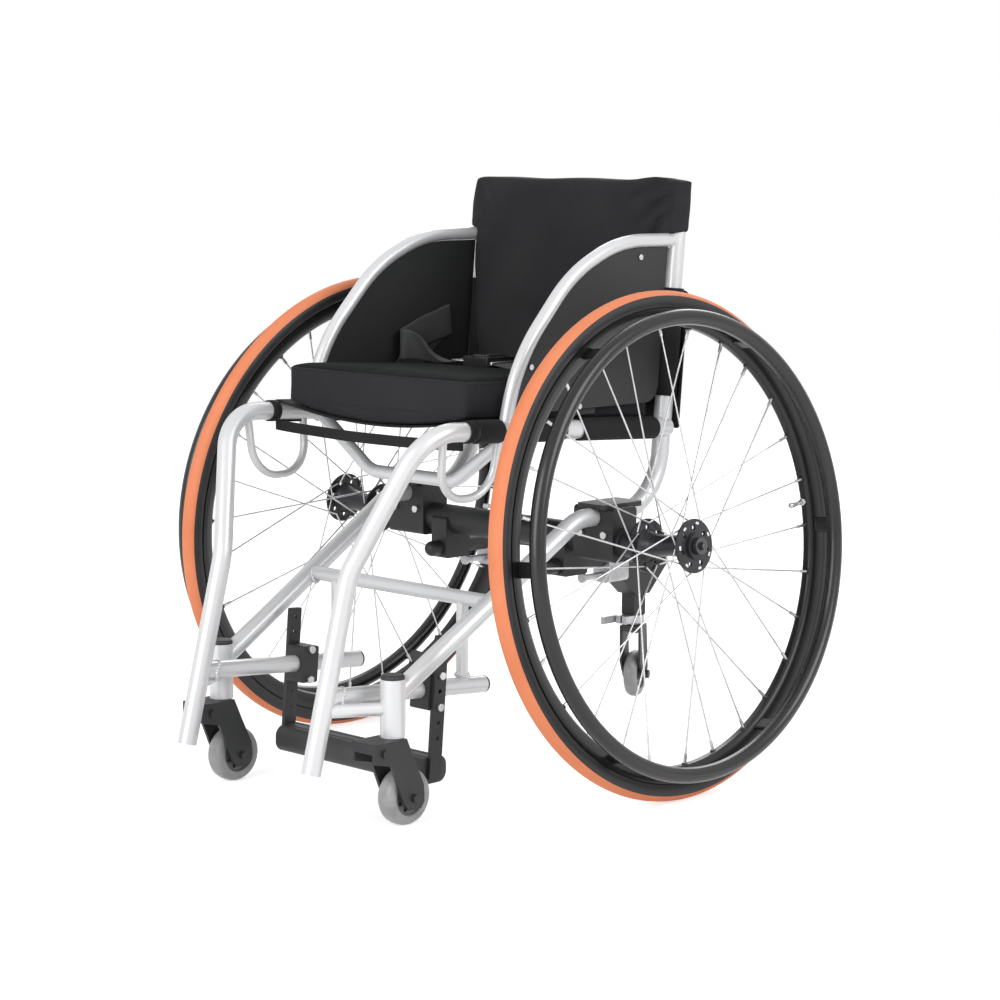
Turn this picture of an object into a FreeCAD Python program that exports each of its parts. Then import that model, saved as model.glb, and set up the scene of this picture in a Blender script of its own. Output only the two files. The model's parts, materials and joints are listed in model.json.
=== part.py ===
"""Rigid sports wheelchair, in millimetres.

The chair faces -Y, its left side is +X, the floor is Z = 0. The origin is the floor point under
the middle of the chair. Stations along the chair are written as distances ahead of the rear axle.
"""
import FreeCAD, Part
import math
import os
from FreeCAD import Placement, Rotation, Vector

SIZES = [
    # name, size, what it is
    ("wheel_radius", 295.0, "tyre outside radius, 24 inch wheel"),
    ("tyre_thickness", 25.0, "tyre section diameter"),
    ("camber_angle", 5.55, "lean of each rear wheel, degrees"),
    ("wheel_spread", 261.0, "middle of the chair to each wheel centre"),
    ("axle_setback", 67.5, "origin to the rear axle along the chair"),
    ("rim_depth", 20.0, "rim height under the tyre"),
    ("rim_width", 22.0, "rim width"),
    ("spoke_count", 28, "spokes in each wheel"),
    ("spoke_thickness", 2.0, "spoke wire diameter"),
    ("nipple_thickness", 4.0, "spoke nipple diameter"),
    ("nipple_length", 12.0, "spoke nipple length"),
    ("hub_flange_radius", 31.5, "hub flange radius"),
    ("hub_flange_thickness", 3.5, "hub flange thickness"),
    ("hub_outer_reach", 41.0, "wheel plane to the hub's outer face"),
    ("hub_inner_reach", 41.0, "wheel plane to the hub's inner face"),
    ("hub_barrel_radius", 15.0, "hub barrel radius"),
    ("handrim_radius", 262.5, "handrim ring radius"),
    ("handrim_thickness", 18.4, "handrim tube diameter"),
    ("handrim_offset", 37.5, "wheel plane to the handrim"),
    ("handrim_tab_count", 6, "tabs that carry each handrim"),
    ("axle_pin_thickness", 12.7, "quick-release axle diameter"),
    ("running_gap", 0.05, "radial clearance of turning and sliding fits"),
    ("face_gap", 0.4, "clearance between faces that turn past each other"),
    ("button_travel", 4.0, "axle button travel"),
    ("camber_tube_thickness", 35.0, "camber tube diameter"),
    ("camber_tube_reach", 190.0, "middle of the chair to the camber tube's end"),
    ("camber_tube_height", 289.0, "camber tube centre above the floor"),
    ("camber_tube_wall", 3.0, "camber tube wall"),
    ("plug_nose_radius", 13.0, "camber plug radius at the hub"),
    ("plug_root_radius", 15.4, "camber plug radius at the clamp"),
    ("clamp_width", 62.0, "clamp block width"),
    ("clamp_depth", 42.0, "clamp block depth"),
    ("clamp_wall", 4.5, "clamp block wall over its tubes"),
    ("main_tube_thickness", 22.0, "main and back tube diameter"),
    ("leg_bore", 18.0, "bore of the open leg end"),
    ("rail_thickness", 20.0, "lower rail diameter"),
    ("arc_thickness", 16.0, "fender arc tube diameter"),
    ("loop_thickness", 9.5, "strap loop rod diameter"),
    ("seat_cross_thickness", 16.0, "seat cross tube diameter"),
    ("front_cross_thickness", 17.0, "front cross tube diameter"),
    ("strut_thickness", 14.0, "strut diameter"),
    ("seat_half_width", 166.0, "middle of the chair to the seat tubes"),
    ("seat_rear_height", 418.0, "seat tube height at the back posts"),
    ("seat_front_height", 438.5, "seat tube height at the front bend"),
    ("seat_bend_ahead", 305.0, "axle to the front bend's corner"),
    ("leg_half_width", 107.0, "middle of the chair to the legs and rails"),
    ("knee_ahead", 363.5, "axle to the leg's kink"),
    ("knee_height", 282.0, "height of the leg's kink"),
    ("leg_end_ahead", 419.2, "axle to the leg's cut end"),
    ("leg_end_height", 65.6, "height of the leg's cut end"),
    ("rail_front_height", 148.5, "lower rail height at the leg"),
    ("rail_rear_height", 130.0, "lower rail height at its capped end"),
    ("rail_end_ahead", 152.0, "axle to the lower rail's capped end"),
    ("stay_half_width", 159.0, "middle of the chair to the back tubes at the clamps"),
    ("stay_height", 319.0, "back tube height at the clamps"),
    ("stay_corner_ahead", 48.0, "axle to the back tube's front corner"),
    ("stay_foot_height", 146.0, "back tube height at the caster housing"),
    ("post_corner_behind", 91.5, "axle to the back tube's rear corner"),
    ("post_top_half_width", 161.5, "middle of the chair to the back posts' tops"),
    ("post_lean", 4.9, "rearward lean of the back posts, degrees"),
    ("post_top_height", 700.0, "height of the back posts' tops"),
    ("arc_foot_ahead", 177.5, "axle to the fender arc's foot"),
    ("arc_foot_half_width", 165.0, "middle of the chair to the arc's foot"),
    ("arc_top_height", 641.5, "height of the arc at the back post"),
    ("caster_half_width", 147.0, "middle of the chair to the caster stems"),
    ("caster_ahead", 334.0, "axle to the caster stems"),
    ("housing_thickness", 28.0, "caster housing diameter"),
    ("housing_top", 167.0, "top of the caster housing"),
    ("housing_bottom", 102.0, "bottom of the caster housing"),
    ("stem_thickness", 12.0, "caster stem diameter"),
    ("caster_radius", 32.5, "caster wheel radius"),
    ("caster_width", 24.0, "caster wheel width"),
    ("caster_trail", 17.0, "caster stem to the caster wheel's axle"),
    ("fork_wall", 4.0, "thickness of the caster fork's arms"),
    ("seat_cross_ahead", 163.0, "axle to the seat cross tube"),
    ("seat_cross_height", 365.0, "height of the seat cross tube's low stretch"),
    ("seat_cross_half_width", 72.0, "middle of the chair to its low corners"),
    ("front_cross_ahead", 186.0, "axle to the front cross tube"),
    ("loop_front_ahead", 276.0, "axle to the strap loop's front leg"),
    ("loop_rear_ahead", 188.0, "axle to the strap loop's rear leg"),
    ("loop_height", 359.0, "height of the strap loop's low stretch"),
    ("foot_bar_ahead", 242.0, "axle to the footrest bars"),
    ("foot_bar_half_width", 123.0, "middle of the chair to the bars' inner faces"),
    ("foot_bar_depth", 18.0, "footrest bar width along the chair"),
    ("foot_bar_wall", 5.0, "footrest bar thickness"),
    ("foot_bar_top", 201.0, "top of the footrest bars"),
    ("foot_bar_bottom", 36.0, "bottom of the footrest bars"),
    ("foot_hole_pitch", 18.0, "distance between the bars' holes"),
    ("foot_hole_radius", 2.5, "radius of the bars' holes"),
    ("foot_clamp_height", 44.0, "height of the footrest's clamp blocks"),
    ("footplate_depth", 44.0, "footplate size along the chair"),
    ("footplate_height", 31.0, "footplate height"),
    ("footplate_bottom", 30.5, "height of the footplate's underside"),
    ("cushion_width", 308.0, "seat cushion width"),
    ("cushion_height", 42.0, "seat cushion thickness"),
    ("cushion_crown", 6.0, "rise of the cushion's middle"),
    ("cushion_front_ahead", 216.5, "axle to the cushion's front"),
    ("cushion_back_gap", 1.0, "gap between the cushion and the back panel"),
    ("sling_front_ahead", 230.5, "axle to the seat sling's front edge"),
    ("strap_width", 15.0, "height of the band under the seat's front"),
    ("cloth_gap", 0.4, "clearance between soft parts and what carries them"),
    ("sling_thickness", 3.0, "seat and back sling thickness"),
    ("sling_sag", 17.0, "sag of the seat sling"),
    ("back_pad_thickness", 10.0, "padding in front of the back posts"),
    ("back_panel_width", 292.0, "width of the back panel between the guards"),
    ("back_wrap_height", 62.0, "height of the back's top fold"),
    ("back_panel_bottom", 466.0, "height of the back panel's lower edge"),
    ("flap_half_width", 176.0, "middle of the chair to the rear flap's edge"),
    ("flap_drop", 66.0, "end of the back's top fold to the rear flap and its sleeves"),
    ("flap_bottom", 415.0, "height of the rear flap's lower edge"),
    ("sleeve_bottom", 455.0, "height where the back sleeves end"),
    ("back_top_height", 712.0, "height of the back's top"),
    ("guard_thickness", 2.5, "side guard plate thickness"),
    ("guard_gap", 0.3, "gap between the arc tube and the guard"),
    ("belt_front_ahead", 55.0, "axle to the lap belt's front edge"),
    ("belt_width", 38.0, "lap belt width"),
    ("belt_thickness", 2.0, "lap belt thickness"),
    ("antitip_half_width", 100.0, "middle of the chair to the anti-tip side tubes"),
    ("antitip_tube_thickness", 19.0, "anti-tip side tube diameter"),
    ("antitip_tube_height", 254.0, "height of the anti-tip side tubes"),
    ("antitip_behind", 235.0, "axle to the anti-tip post"),
    ("antitip_socket", 22.0, "width of the anti-tip's square socket"),
    ("antitip_post_thickness", 16.0, "anti-tip sliding post diameter"),
    ("antitip_wheel_radius", 30.0, "anti-tip wheel radius"),
    ("antitip_wheel_height", 72.0, "anti-tip wheel centre above the floor"),
    ("antitip_wheel_width", 18.0, "anti-tip wheel width"),
    ("antitip_trail", 11.0, "anti-tip post to its wheel's axle"),
    ("antitip_drop", 30.0, "downward travel of the anti-tip post"),
    ("antitip_swing", 25.0, "swivel of the anti-tip wheel at rest, degrees"),
    ("antitip_socket_bottom", 152.0, "height of the square socket's lower end"),
    ("antitip_collar_height", 10.5, "height of the clamp collar"),
    ("bolt_head_thickness", 9.0, "bolt head diameter"),
    ("bolt_head_height", 4.0, "bolt head height"),
]

doc = FreeCAD.newDocument("SportsWheelchair")
sheet = doc.addObject("Spreadsheet::Sheet", "Sizes")
for row, (alias, value, note) in enumerate(SIZES, start=1):
    sheet.set("A%d" % row, note)
    sheet.set("B%d" % row, str(value))
    sheet.setAlias("B%d" % row, alias)
doc.recompute()

X_AXIS = Vector(1, 0, 0)
Y_AXIS = Vector(0, 1, 0)
Z_AXIS = Vector(0, 0, 1)
SIDES = (("left", 1), ("right", -1))
ARC_BENDS = [200, 190, 200]
POST_SKIN = 1.6
PARTS = []


def size(alias):
    """The value of one cell of the sheet."""
    return float(sheet.get(alias))


def station(across, ahead, height):
    """A point given by its distance ahead of the rear axle."""
    return Vector(across, size("axle_setback") - ahead, height)


# Helpers that add document objects

def placed(thing, base, axis=Z_AXIS):
    """Put an object's own Z axis along a direction, starting at a point."""
    thing.Placement = Placement(base, Rotation(Z_AXIS, axis))
    return thing


def cylinder(name, radius, length, base, axis=Z_AXIS):
    """A cylinder whose radius and length are expressions on the sheet."""
    rod = doc.addObject("Part::Cylinder", name)
    rod.setExpression("Radius", radius)
    rod.setExpression("Height", length)
    return placed(rod, base, axis)


def torus(name, ring, section, base, axis):
    """A ring whose two radii are expressions on the sheet."""
    ring_solid = doc.addObject("Part::Torus", name)
    ring_solid.setExpression("Radius1", ring)
    ring_solid.setExpression("Radius2", section)
    return placed(ring_solid, base, axis)


def fused(name, pieces):
    """One solid from touching or crossing pieces."""
    joined = doc.addObject("Part::MultiFuse", name)
    joined.Shapes = pieces
    return joined


def without(name, base, tool):
    """The base with the tool's room taken out of it."""
    cut = doc.addObject("Part::Cut", name)
    cut.Base = base
    cut.Tool = tool
    return cut


def feature(name, shape):
    """A free shape that the primitives don't give."""
    doc.recompute()
    held = doc.addObject("Part::Feature", name)
    held.Shape = shape
    return held


def keep(label, thing):
    """Name a finished sub-part."""
    thing.Label = label
    PARTS.append(thing)
    return thing


def shape_of(thing):
    """The finished shape of an object."""
    doc.recompute()
    return thing.Shape


# Helpers that work on shapes

def bent_wire(points, bends):
    """Straight runs joined by tangent arcs, one bend radius for each inner point."""
    edges = []
    start = points[0]
    for corner, after, radius in zip(points[1:-1], points[2:], bends):
        incoming = (corner - start).normalize()
        outgoing = (after - corner).normalize()
        turn = incoming.getAngle(outgoing)
        reach = radius * math.tan(turn / 2)
        first = corner - incoming * reach
        last = corner + outgoing * reach
        inward = (outgoing - incoming).normalize()
        middle = corner + inward * (radius / math.cos(turn / 2) - radius)
        edges.append(Part.LineSegment(start, first).toShape())
        edges.append(Part.Arc(first, middle, last).toShape())
        start = last
    edges.append(Part.LineSegment(start, points[-1]).toShape())
    return Part.Wire(edges)


def bent_tube(points, bends, thickness):
    """A round bar along straight runs and bends."""
    path = bent_wire(points, bends)
    section = Part.Wire(Part.makeCircle(thickness / 2, points[0], points[1] - points[0]))
    return path.makePipeShell([section], True, False)


def rod(start, end, thickness):
    """A straight round bar between two points."""
    return Part.makeCylinder(thickness / 2, (end - start).Length, start, end - start)


def block(low, high):
    """A box shape between two corners."""
    spread = high - low
    return Part.makeBox(spread.x, spread.y, spread.z, low)


def prism(outline, thickness, direction):
    """A flat plate from a closed outline of points, edges or arcs."""
    return Part.Face(Part.Wire(outline)).extrude(direction * thickness)


def polygon(points):
    """The edges of a closed outline."""
    return Part.makePolygon(points + [points[0]]).Edges


def rounded_box(low, high, radius, axis):
    """A box with the four edges along one axis rounded."""
    body = block(low, high)
    along = [edge for edge in body.Edges if abs(edge.tangentAt(edge.FirstParameter).dot(axis)) > 0.9]
    return body.makeFillet(radius, along)


def main_piece(shape):
    """The largest solid that a cut leaves."""
    return max(shape.Solids, key=lambda solid: solid.Volume)


def coped(shape, *neighbours):
    """A tube with its ends cut to the tubes that it is welded to."""
    for neighbour in neighbours:
        shape = shape.cut(neighbour)
    return main_piece(shape)


# Places that several pieces share

def axle_axis(side):
    """The outward direction of one cambered rear axle."""
    camber = math.radians(size("camber_angle"))
    return Vector(side * math.cos(camber), 0, math.sin(camber))


def wheel_centre(side):
    """The centre of one rear wheel, high enough for its tyre to touch the floor."""
    tyre = size("tyre_thickness") / 2
    ring = size("wheel_radius") - tyre
    height = ring * math.cos(math.radians(size("camber_angle"))) + tyre
    return station(side * size("wheel_spread"), 0, height)


def along_axle(side, offset):
    """A point on one rear axle, measured outward from the wheel plane."""
    return wheel_centre(side) + axle_axis(side) * offset


def seat_line(side, ahead):
    """A point on one seat tube's centre line."""
    rear = -size("post_corner_behind")
    share = (ahead - rear) / (size("seat_bend_ahead") - rear)
    height = size("seat_rear_height") + share * (size("seat_front_height") - size("seat_rear_height"))
    return station(side * size("seat_half_width"), ahead, height)


def leg_line(side, height):
    """A point on one front leg's centre line under the kink."""
    share = (size("knee_height") - height) / (size("knee_height") - size("leg_end_height"))
    ahead = size("knee_ahead") + share * (size("leg_end_ahead") - size("knee_ahead"))
    return station(side * size("leg_half_width"), ahead, height)


def rail_line(side, ahead):
    """A point on one lower rail's centre line."""
    front = leg_line(side, size("rail_front_height"))
    rear = station(side * size("leg_half_width"), size("rail_end_ahead"), size("rail_rear_height"))
    share = (station(0, ahead, 0).y - front.y) / (rear.y - front.y)
    return front + (rear - front) * share


def stay_corner(side):
    """The front corner of one back tube."""
    return station(side * size("stay_half_width"), size("stay_corner_ahead"), size("stay_height"))


def post_corner(side):
    """The rear corner of one back tube."""
    return station(side * size("stay_half_width"), -size("post_corner_behind"), size("stay_height"))


def post_point(side, height):
    """A point on one back post's centre line."""
    corner = post_corner(side)
    share = (height - corner.z) / (size("post_top_height") - corner.z)
    across = size("stay_half_width") + share * (size("post_top_half_width") - size("stay_half_width"))
    behind = (height - corner.z) * math.tan(math.radians(size("post_lean")))
    return Vector(side * across, corner.y + behind, height)


def caster_point(side, height):
    """A point on one caster's swivel axis."""
    return station(side * size("caster_half_width"), size("caster_ahead"), height)


def stay_line(side, ahead):
    """A point on one diagonal stay's centre line."""
    foot = caster_point(side, size("stay_foot_height"))
    corner = stay_corner(side)
    share = (station(0, ahead, 0).y - foot.y) / (corner.y - foot.y)
    return foot + (corner - foot) * share


# Frame tubes

def main_tube(side):
    """Seat tube, front bend and front leg in one tube with an open foot."""
    rear = seat_line(side, -size("post_corner_behind") - 10)
    bend = seat_line(side, size("seat_bend_ahead"))
    knee = leg_line(side, size("knee_height"))
    foot = leg_line(side, size("leg_end_height"))
    tube = bent_tube([rear, bend, knee, foot], [62, 90], size("main_tube_thickness"))
    bore_start = leg_line(side, size("leg_end_height") + 60)
    bore = rod(bore_start, foot + (foot - bore_start), size("leg_bore"))
    return tube.cut(bore)


def back_tube(side):
    """Diagonal stay, clamp stretch and back post in one tube."""
    points = [stay_line(side, size("caster_ahead")), stay_corner(side), post_corner(side),
              post_point(side, size("post_top_height"))]
    return bent_tube(points, [60, 75], size("main_tube_thickness"))


def caster_housing(side):
    """The bearing tube of one caster and the short tube that ties it to the leg."""
    shell = rod(caster_point(side, size("housing_bottom")), caster_point(side, size("housing_top")),
                size("housing_thickness"))
    tie_height = (size("housing_bottom") + size("housing_top")) / 2 - 1
    tie = rod(leg_line(side, tie_height), caster_point(side, tie_height), 15)
    bore_depth = size("housing_top") - size("housing_bottom") - 12
    bore = Part.makeCylinder(size("stem_thickness") / 2 + size("running_gap"), bore_depth,
                             caster_point(side, size("housing_bottom")))
    return shell.fuse(tie).cut(bore)


def fender_arc_points(side):
    """The corners of one fender arc, from its foot on the seat tube to the back post."""
    top = size("arc_top_height")
    start = size("arc_foot_ahead")
    end = post_point(side, top)
    end_ahead = size("axle_setback") - end.y
    outline = [(start, seat_line(side, start).z), (start - 14.5, top - 136.5), (start - 108, top - 37),
               (start - 191, top)]
    points = []
    for ahead, height in outline:
        share = (start - ahead) / (start - end_ahead)
        across = size("arc_foot_half_width") + share * (abs(end.x) - size("arc_foot_half_width"))
        points.append(station(side * across, ahead, height))
    return points + [end]


def fender_arc(side):
    """The curved tube over one side guard."""
    return bent_tube(fender_arc_points(side), ARC_BENDS, size("arc_thickness"))


def seat_loop(side):
    """A U of thin rod for the leg strap, under one seat tube."""
    low = size("loop_height")
    front = size("loop_front_ahead")
    rear = size("loop_rear_ahead")
    across = side * (size("seat_half_width") - 9)
    points = [seat_line(side, front), station(across, front - 4, low), station(across, rear + 4, low),
              seat_line(side, rear)]
    return bent_tube(points, [38, 38], size("loop_thickness"))


def seat_cross():
    """The low trapezoid tube that joins both seat tubes."""
    ahead = size("seat_cross_ahead")
    low = size("seat_cross_height")
    corner = size("seat_cross_half_width")
    points = [seat_line(1, ahead), station(corner, ahead, low), station(-corner, ahead, low),
              seat_line(-1, ahead)]
    return bent_tube(points, [42, 42], size("seat_cross_thickness"))


def front_cross():
    """The tube between both stays, with its two struts down to the rails."""
    ahead = size("front_cross_ahead")
    tube = rod(stay_line(-1, ahead), stay_line(1, ahead), size("front_cross_thickness"))
    for side_name, side in SIDES:
        foot = rail_line(side, ahead)
        head = Vector(foot.x, foot.y, stay_line(side, ahead).z)
        tube = tube.fuse(rod(foot, head, size("strut_thickness")))
    return tube


def lower_rail(side):
    """The straight rail from one leg to its capped rear end."""
    return rod(rail_line(side, size("leg_end_ahead") - 20), rail_line(side, size("rail_end_ahead")),
               size("rail_thickness"))


def end_caps():
    """Black caps on the rails' rear ends and on top of the caster housings."""
    caps = []
    for side_name, side in SIDES:
        end = rail_line(side, size("rail_end_ahead"))
        way = (end - rail_line(side, size("rail_end_ahead") + 50)).normalize()
        plug = Part.makeCylinder(size("rail_thickness") / 2, 4, end, way)
        caps.append(plug.makeFillet(2.5, [plug.Edges[0]]))
        top = caster_point(side, size("housing_top"))
        dome = Part.makeCylinder(size("housing_thickness") / 2 - 0.5, 5, top)
        caps.append(dome.makeFillet(3, [dome.Edges[0]]))
    return Part.makeCompound(caps)


def build_frame():
    """All welded tubes, each cut to the ones that it meets."""
    shapes = {}
    for name, side in SIDES:
        main = main_tube(side)
        housing = main_piece(caster_housing(side).cut(main))
        rail = coped(lower_rail(side), main)
        back = coped(back_tube(side), housing)
        seat_end = coped(main, back)
        arc = coped(fender_arc(side), seat_end, back)
        shapes[name] = (seat_end, back)
        keep(name + "_main_tube", feature(name + "_main", seat_end))
        keep(name + "_back_tube", feature(name + "_back", back))
        keep(name + "_lower_rail", feature(name + "_rail", rail))
        keep(name + "_caster_housing", feature(name + "_housing", coped(housing, rail)))
        keep(name + "_fender_arc", feature(name + "_arc", arc))
        shapes[name + "_rail"] = rail
    loops = [coped(seat_loop(side), shapes[name][0]) for name, side in SIDES]
    keep("seat_loops", feature("loops", Part.makeCompound(loops)))
    cross = coped(seat_cross(), shapes["left"][0], shapes["right"][0])
    keep("seat_cross_tube", feature("seat_cross", cross))
    front = coped(front_cross(), shapes["left"][1], shapes["right"][1], shapes["left_rail"],
                  shapes["right_rail"])
    keep("front_cross_tube", feature("front_cross", front))
    keep("tube_caps", feature("caps", end_caps()))
    return shapes


# Axle group

def camber_tube():
    """The hollow tube between both clamps, made from two cylinders."""
    reach = size("camber_tube_reach")
    start = station(-reach, 0, size("camber_tube_height"))
    outer = cylinder("camber_outer", "Sizes.camber_tube_thickness / 2", "2 * Sizes.camber_tube_reach",
                     start, X_AXIS)
    inner = cylinder("camber_inner", "Sizes.camber_tube_thickness / 2 - Sizes.camber_tube_wall",
                     "2 * Sizes.camber_tube_reach", start, X_AXIS)
    return keep("camber_tube", without("camber_cut", outer, inner))


def axle_clamp(name, side):
    """The block that holds the camber tube under one back tube, with its top plate."""
    width = size("clamp_width")
    depth = size("clamp_depth")
    bottom = size("camber_tube_height") - size("camber_tube_thickness") / 2 - size("clamp_wall")
    top = size("stay_height") + size("main_tube_thickness") / 2 + 1
    middle = side * size("stay_half_width")
    low = Vector(middle - width / 2, size("axle_setback") - depth / 2, bottom)
    high = Vector(middle + width / 2, size("axle_setback") + depth / 2, top)
    body = rounded_box(low, high, 5, X_AXIS)
    plate_low = Vector(middle - 22, size("axle_setback") - 27, top - 2)
    plate_high = Vector(middle + 22, size("axle_setback") + 43, top + 4)
    body = body.fuse(rounded_box(plate_low, plate_high, 5, Z_AXIS))
    reach = size("camber_tube_reach")
    camber = rod(station(-reach - 60, 0, size("camber_tube_height")),
                 station(reach + 60, 0, size("camber_tube_height")), size("camber_tube_thickness"))
    bored = body.cut(camber)
    stay = shape_of(doc.getObject(name + "_back"))
    return keep(name + "_axle_clamp", feature(name + "_clamp", main_piece(bored.cut(stay))))


def clamp_bolt_places(side):
    """Where the two bolt heads sit on one clamp block's front face."""
    front = size("clamp_depth") / 2
    height = size("camber_tube_height") + 10
    spread = size("main_tube_thickness") / 2 + 7.5
    places = []
    for step in (-1, 1):
        places.append((side * size("stay_half_width") + step * spread, front, height, -Y_AXIS))
    return places


def camber_plug(name, side):
    """The tilted socket between one end of the camber tube and the wheel's hub."""
    inner = -size("hub_inner_reach") - size("face_gap")
    face = along_axle(side, inner)
    end = size("camber_tube_reach")
    length = (face.x * side - end) / math.cos(math.radians(size("camber_angle"))) + 12
    barrel = Part.makeCone(size("plug_nose_radius"), size("plug_root_radius"), length, face,
                           axle_axis(side) * -1)
    keep_out = block(Vector(-end if side < 0 else end - 60, -200, 200),
                     Vector(-end + 60 if side < 0 else end, 400, 400))
    barrel = barrel.cut(keep_out)
    spigot_start = station(side * end, 0, size("camber_tube_height"))
    bore_radius = size("camber_tube_thickness") / 2 - size("camber_tube_wall")
    spigot = Part.makeCylinder(bore_radius - 0.1, 40, spigot_start, X_AXIS * -side)
    collar = Part.makeCylinder(size("camber_tube_thickness") / 2, 5, spigot_start, X_AXIS * side)
    body = barrel.fuse(spigot).fuse(collar)
    pin_length = length + 24
    pin_room = Part.makeCylinder(size("axle_pin_thickness") / 2, pin_length, face, axle_axis(side) * -1)
    return keep(name + "_camber_plug", feature(name + "_plug", main_piece(body.cut(pin_room))))


def axle_pin(name, side):
    """A quick-release axle: pin, head, and the button's bore in its outer end."""
    outer = size("hub_outer_reach") + size("face_gap")
    head_face = along_axle(side, outer)
    inner = -size("hub_inner_reach") - 26
    shank = cylinder(name + "_shank", "Sizes.axle_pin_thickness / 2",
                     "Sizes.hub_outer_reach + Sizes.hub_inner_reach + Sizes.face_gap + 26",
                     along_axle(side, inner), axle_axis(side))
    head = cylinder(name + "_head", "Sizes.axle_pin_thickness / 2 + 3.5", "6", head_face,
                    axle_axis(side))
    button_bore = cylinder(name + "_button_bore", "Sizes.axle_pin_thickness / 2 - 2", "20",
                           along_axle(side, outer - 12), axle_axis(side))
    solid = fused(name + "_pin_solid", [shank, head])
    return keep(name + "_axle_pin", without(name + "_pin", solid, button_bore))


def axle_button(name, side):
    """The push button in one axle pin's end."""
    start = size("hub_outer_reach") + size("face_gap") - 6
    return keep(name + "_axle_button",
                cylinder(name + "_button", "Sizes.axle_pin_thickness / 2 - 2 - Sizes.running_gap",
                         "12 + Sizes.button_travel + 1", along_axle(side, start), axle_axis(side)))


# Rear wheels, each built round its own outward axis

def rim_sketch_points():
    """Half of the rim's section as radius and offset pairs."""
    seat = size("wheel_radius") - size("tyre_thickness")
    crown = seat - size("rim_depth") + 5
    half = size("rim_width") / 2
    return [(seat + 4, half), (seat - 2, half), (seat - 8, half - 2), (crown, half - 6), (crown, -half + 6),
            (seat - 8, -half + 2), (seat - 2, -half), (seat + 4, -half)]


def revolved(name, outline, base, axis):
    """A PartDesign body turned from a closed outline of radius and offset pairs."""
    body = doc.addObject("PartDesign::Body", name + "_body")
    profile = body.newObject("Sketcher::SketchObject", name + "_sketch")
    planes = [item for item in body.Origin.OriginFeatures if item.Role == "XZ_Plane"]
    profile.AttachmentSupport = [(planes[0], "")]
    profile.MapMode = "FlatFace"
    corners = [Vector(radius, offset, 0) for radius, offset in outline]
    for start, end in zip(corners, corners[1:] + corners[:1]):
        profile.addGeometry(Part.LineSegment(start, end), False)
    turned = body.newObject("PartDesign::Revolution", name + "_turned")
    turned.Profile = profile
    turned.ReferenceAxis = (profile, ["V_Axis"])
    turned.Angle = 360
    body.Tip = turned
    return placed(body, base, axis)


def hub_outline():
    """The hub's section: bore, two flanges and a waisted barrel."""
    bore = size("axle_pin_thickness") / 2 + size("running_gap")
    flange = size("hub_flange_radius")
    wall = size("hub_flange_thickness")
    outer = size("hub_outer_reach")
    inner = -size("hub_inner_reach")
    barrel = size("hub_barrel_radius")
    return [(bore, inner), (barrel + 2, inner), (barrel + 2, inner + 4), (flange, inner + 4),
            (flange, inner + 4 + wall), (barrel + 5, inner + 4 + wall), (barrel, inner + 16),
            (barrel - 3, 0), (barrel, outer - 16), (barrel + 5, outer - 4 - wall),
            (flange, outer - 4 - wall), (flange, outer - 4), (barrel, outer - 4), (barrel, outer),
            (bore, outer)]


def spoke_set(side):
    """Crossed spokes from both hub flanges to the rim, each with its nipple."""
    count = int(size("spoke_count"))
    wire = size("spoke_thickness")
    seat = size("wheel_radius") - size("tyre_thickness")
    rim_edge = seat - size("rim_depth") + 5
    hole_ring = size("hub_flange_radius") - 5
    lead = math.radians(62)
    flange_faces = (size("hub_outer_reach") - 4 - size("hub_flange_thickness"),
                    -size("hub_inner_reach") + 4 + size("hub_flange_thickness"))
    spokes = []
    for index in range(count):
        out = 1 if index % 2 == 0 else -1
        level = flange_faces[0] if out > 0 else flange_faces[1]
        layer = wire * (0.75 if (index // 2) % 2 == 0 else 1.9)
        swing = lead if (index // 2) % 2 == 0 else -lead
        turn = 2 * math.pi * index / count
        start = Vector(hole_ring * math.cos(turn + swing), hole_ring * math.sin(turn + swing),
                       level - out * layer)
        end = Vector(rim_edge * math.cos(turn), rim_edge * math.sin(turn), out * 2)
        way = (end - start).normalize()
        tip = end - way * 0.6
        nipple = rod(tip - way * size("nipple_length"), tip, size("nipple_thickness"))
        spokes.append(rod(start, tip, wire).fuse(nipple))
    return Part.makeCompound(spokes)


def handrim_tabs():
    """Short posts that stand between the rim's flank and the handrim."""
    count = int(size("handrim_tab_count"))
    ring = size("handrim_radius")
    low = size("rim_width") / 2 - 2
    tabs = []
    for index in range(count):
        turn = 360 / count * (index + 0.5)
        tab = Part.makeBox(5, 18, size("handrim_offset") - low, Vector(ring - 2.5, -9, low))
        tab = tab.makeFillet(2, [edge for edge in tab.Edges if edge.Length > size("handrim_offset") - low - 0.01])
        tab.rotate(Vector(0, 0, 0), Z_AXIS, turn)
        tabs.append(tab)
    return tabs


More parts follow.
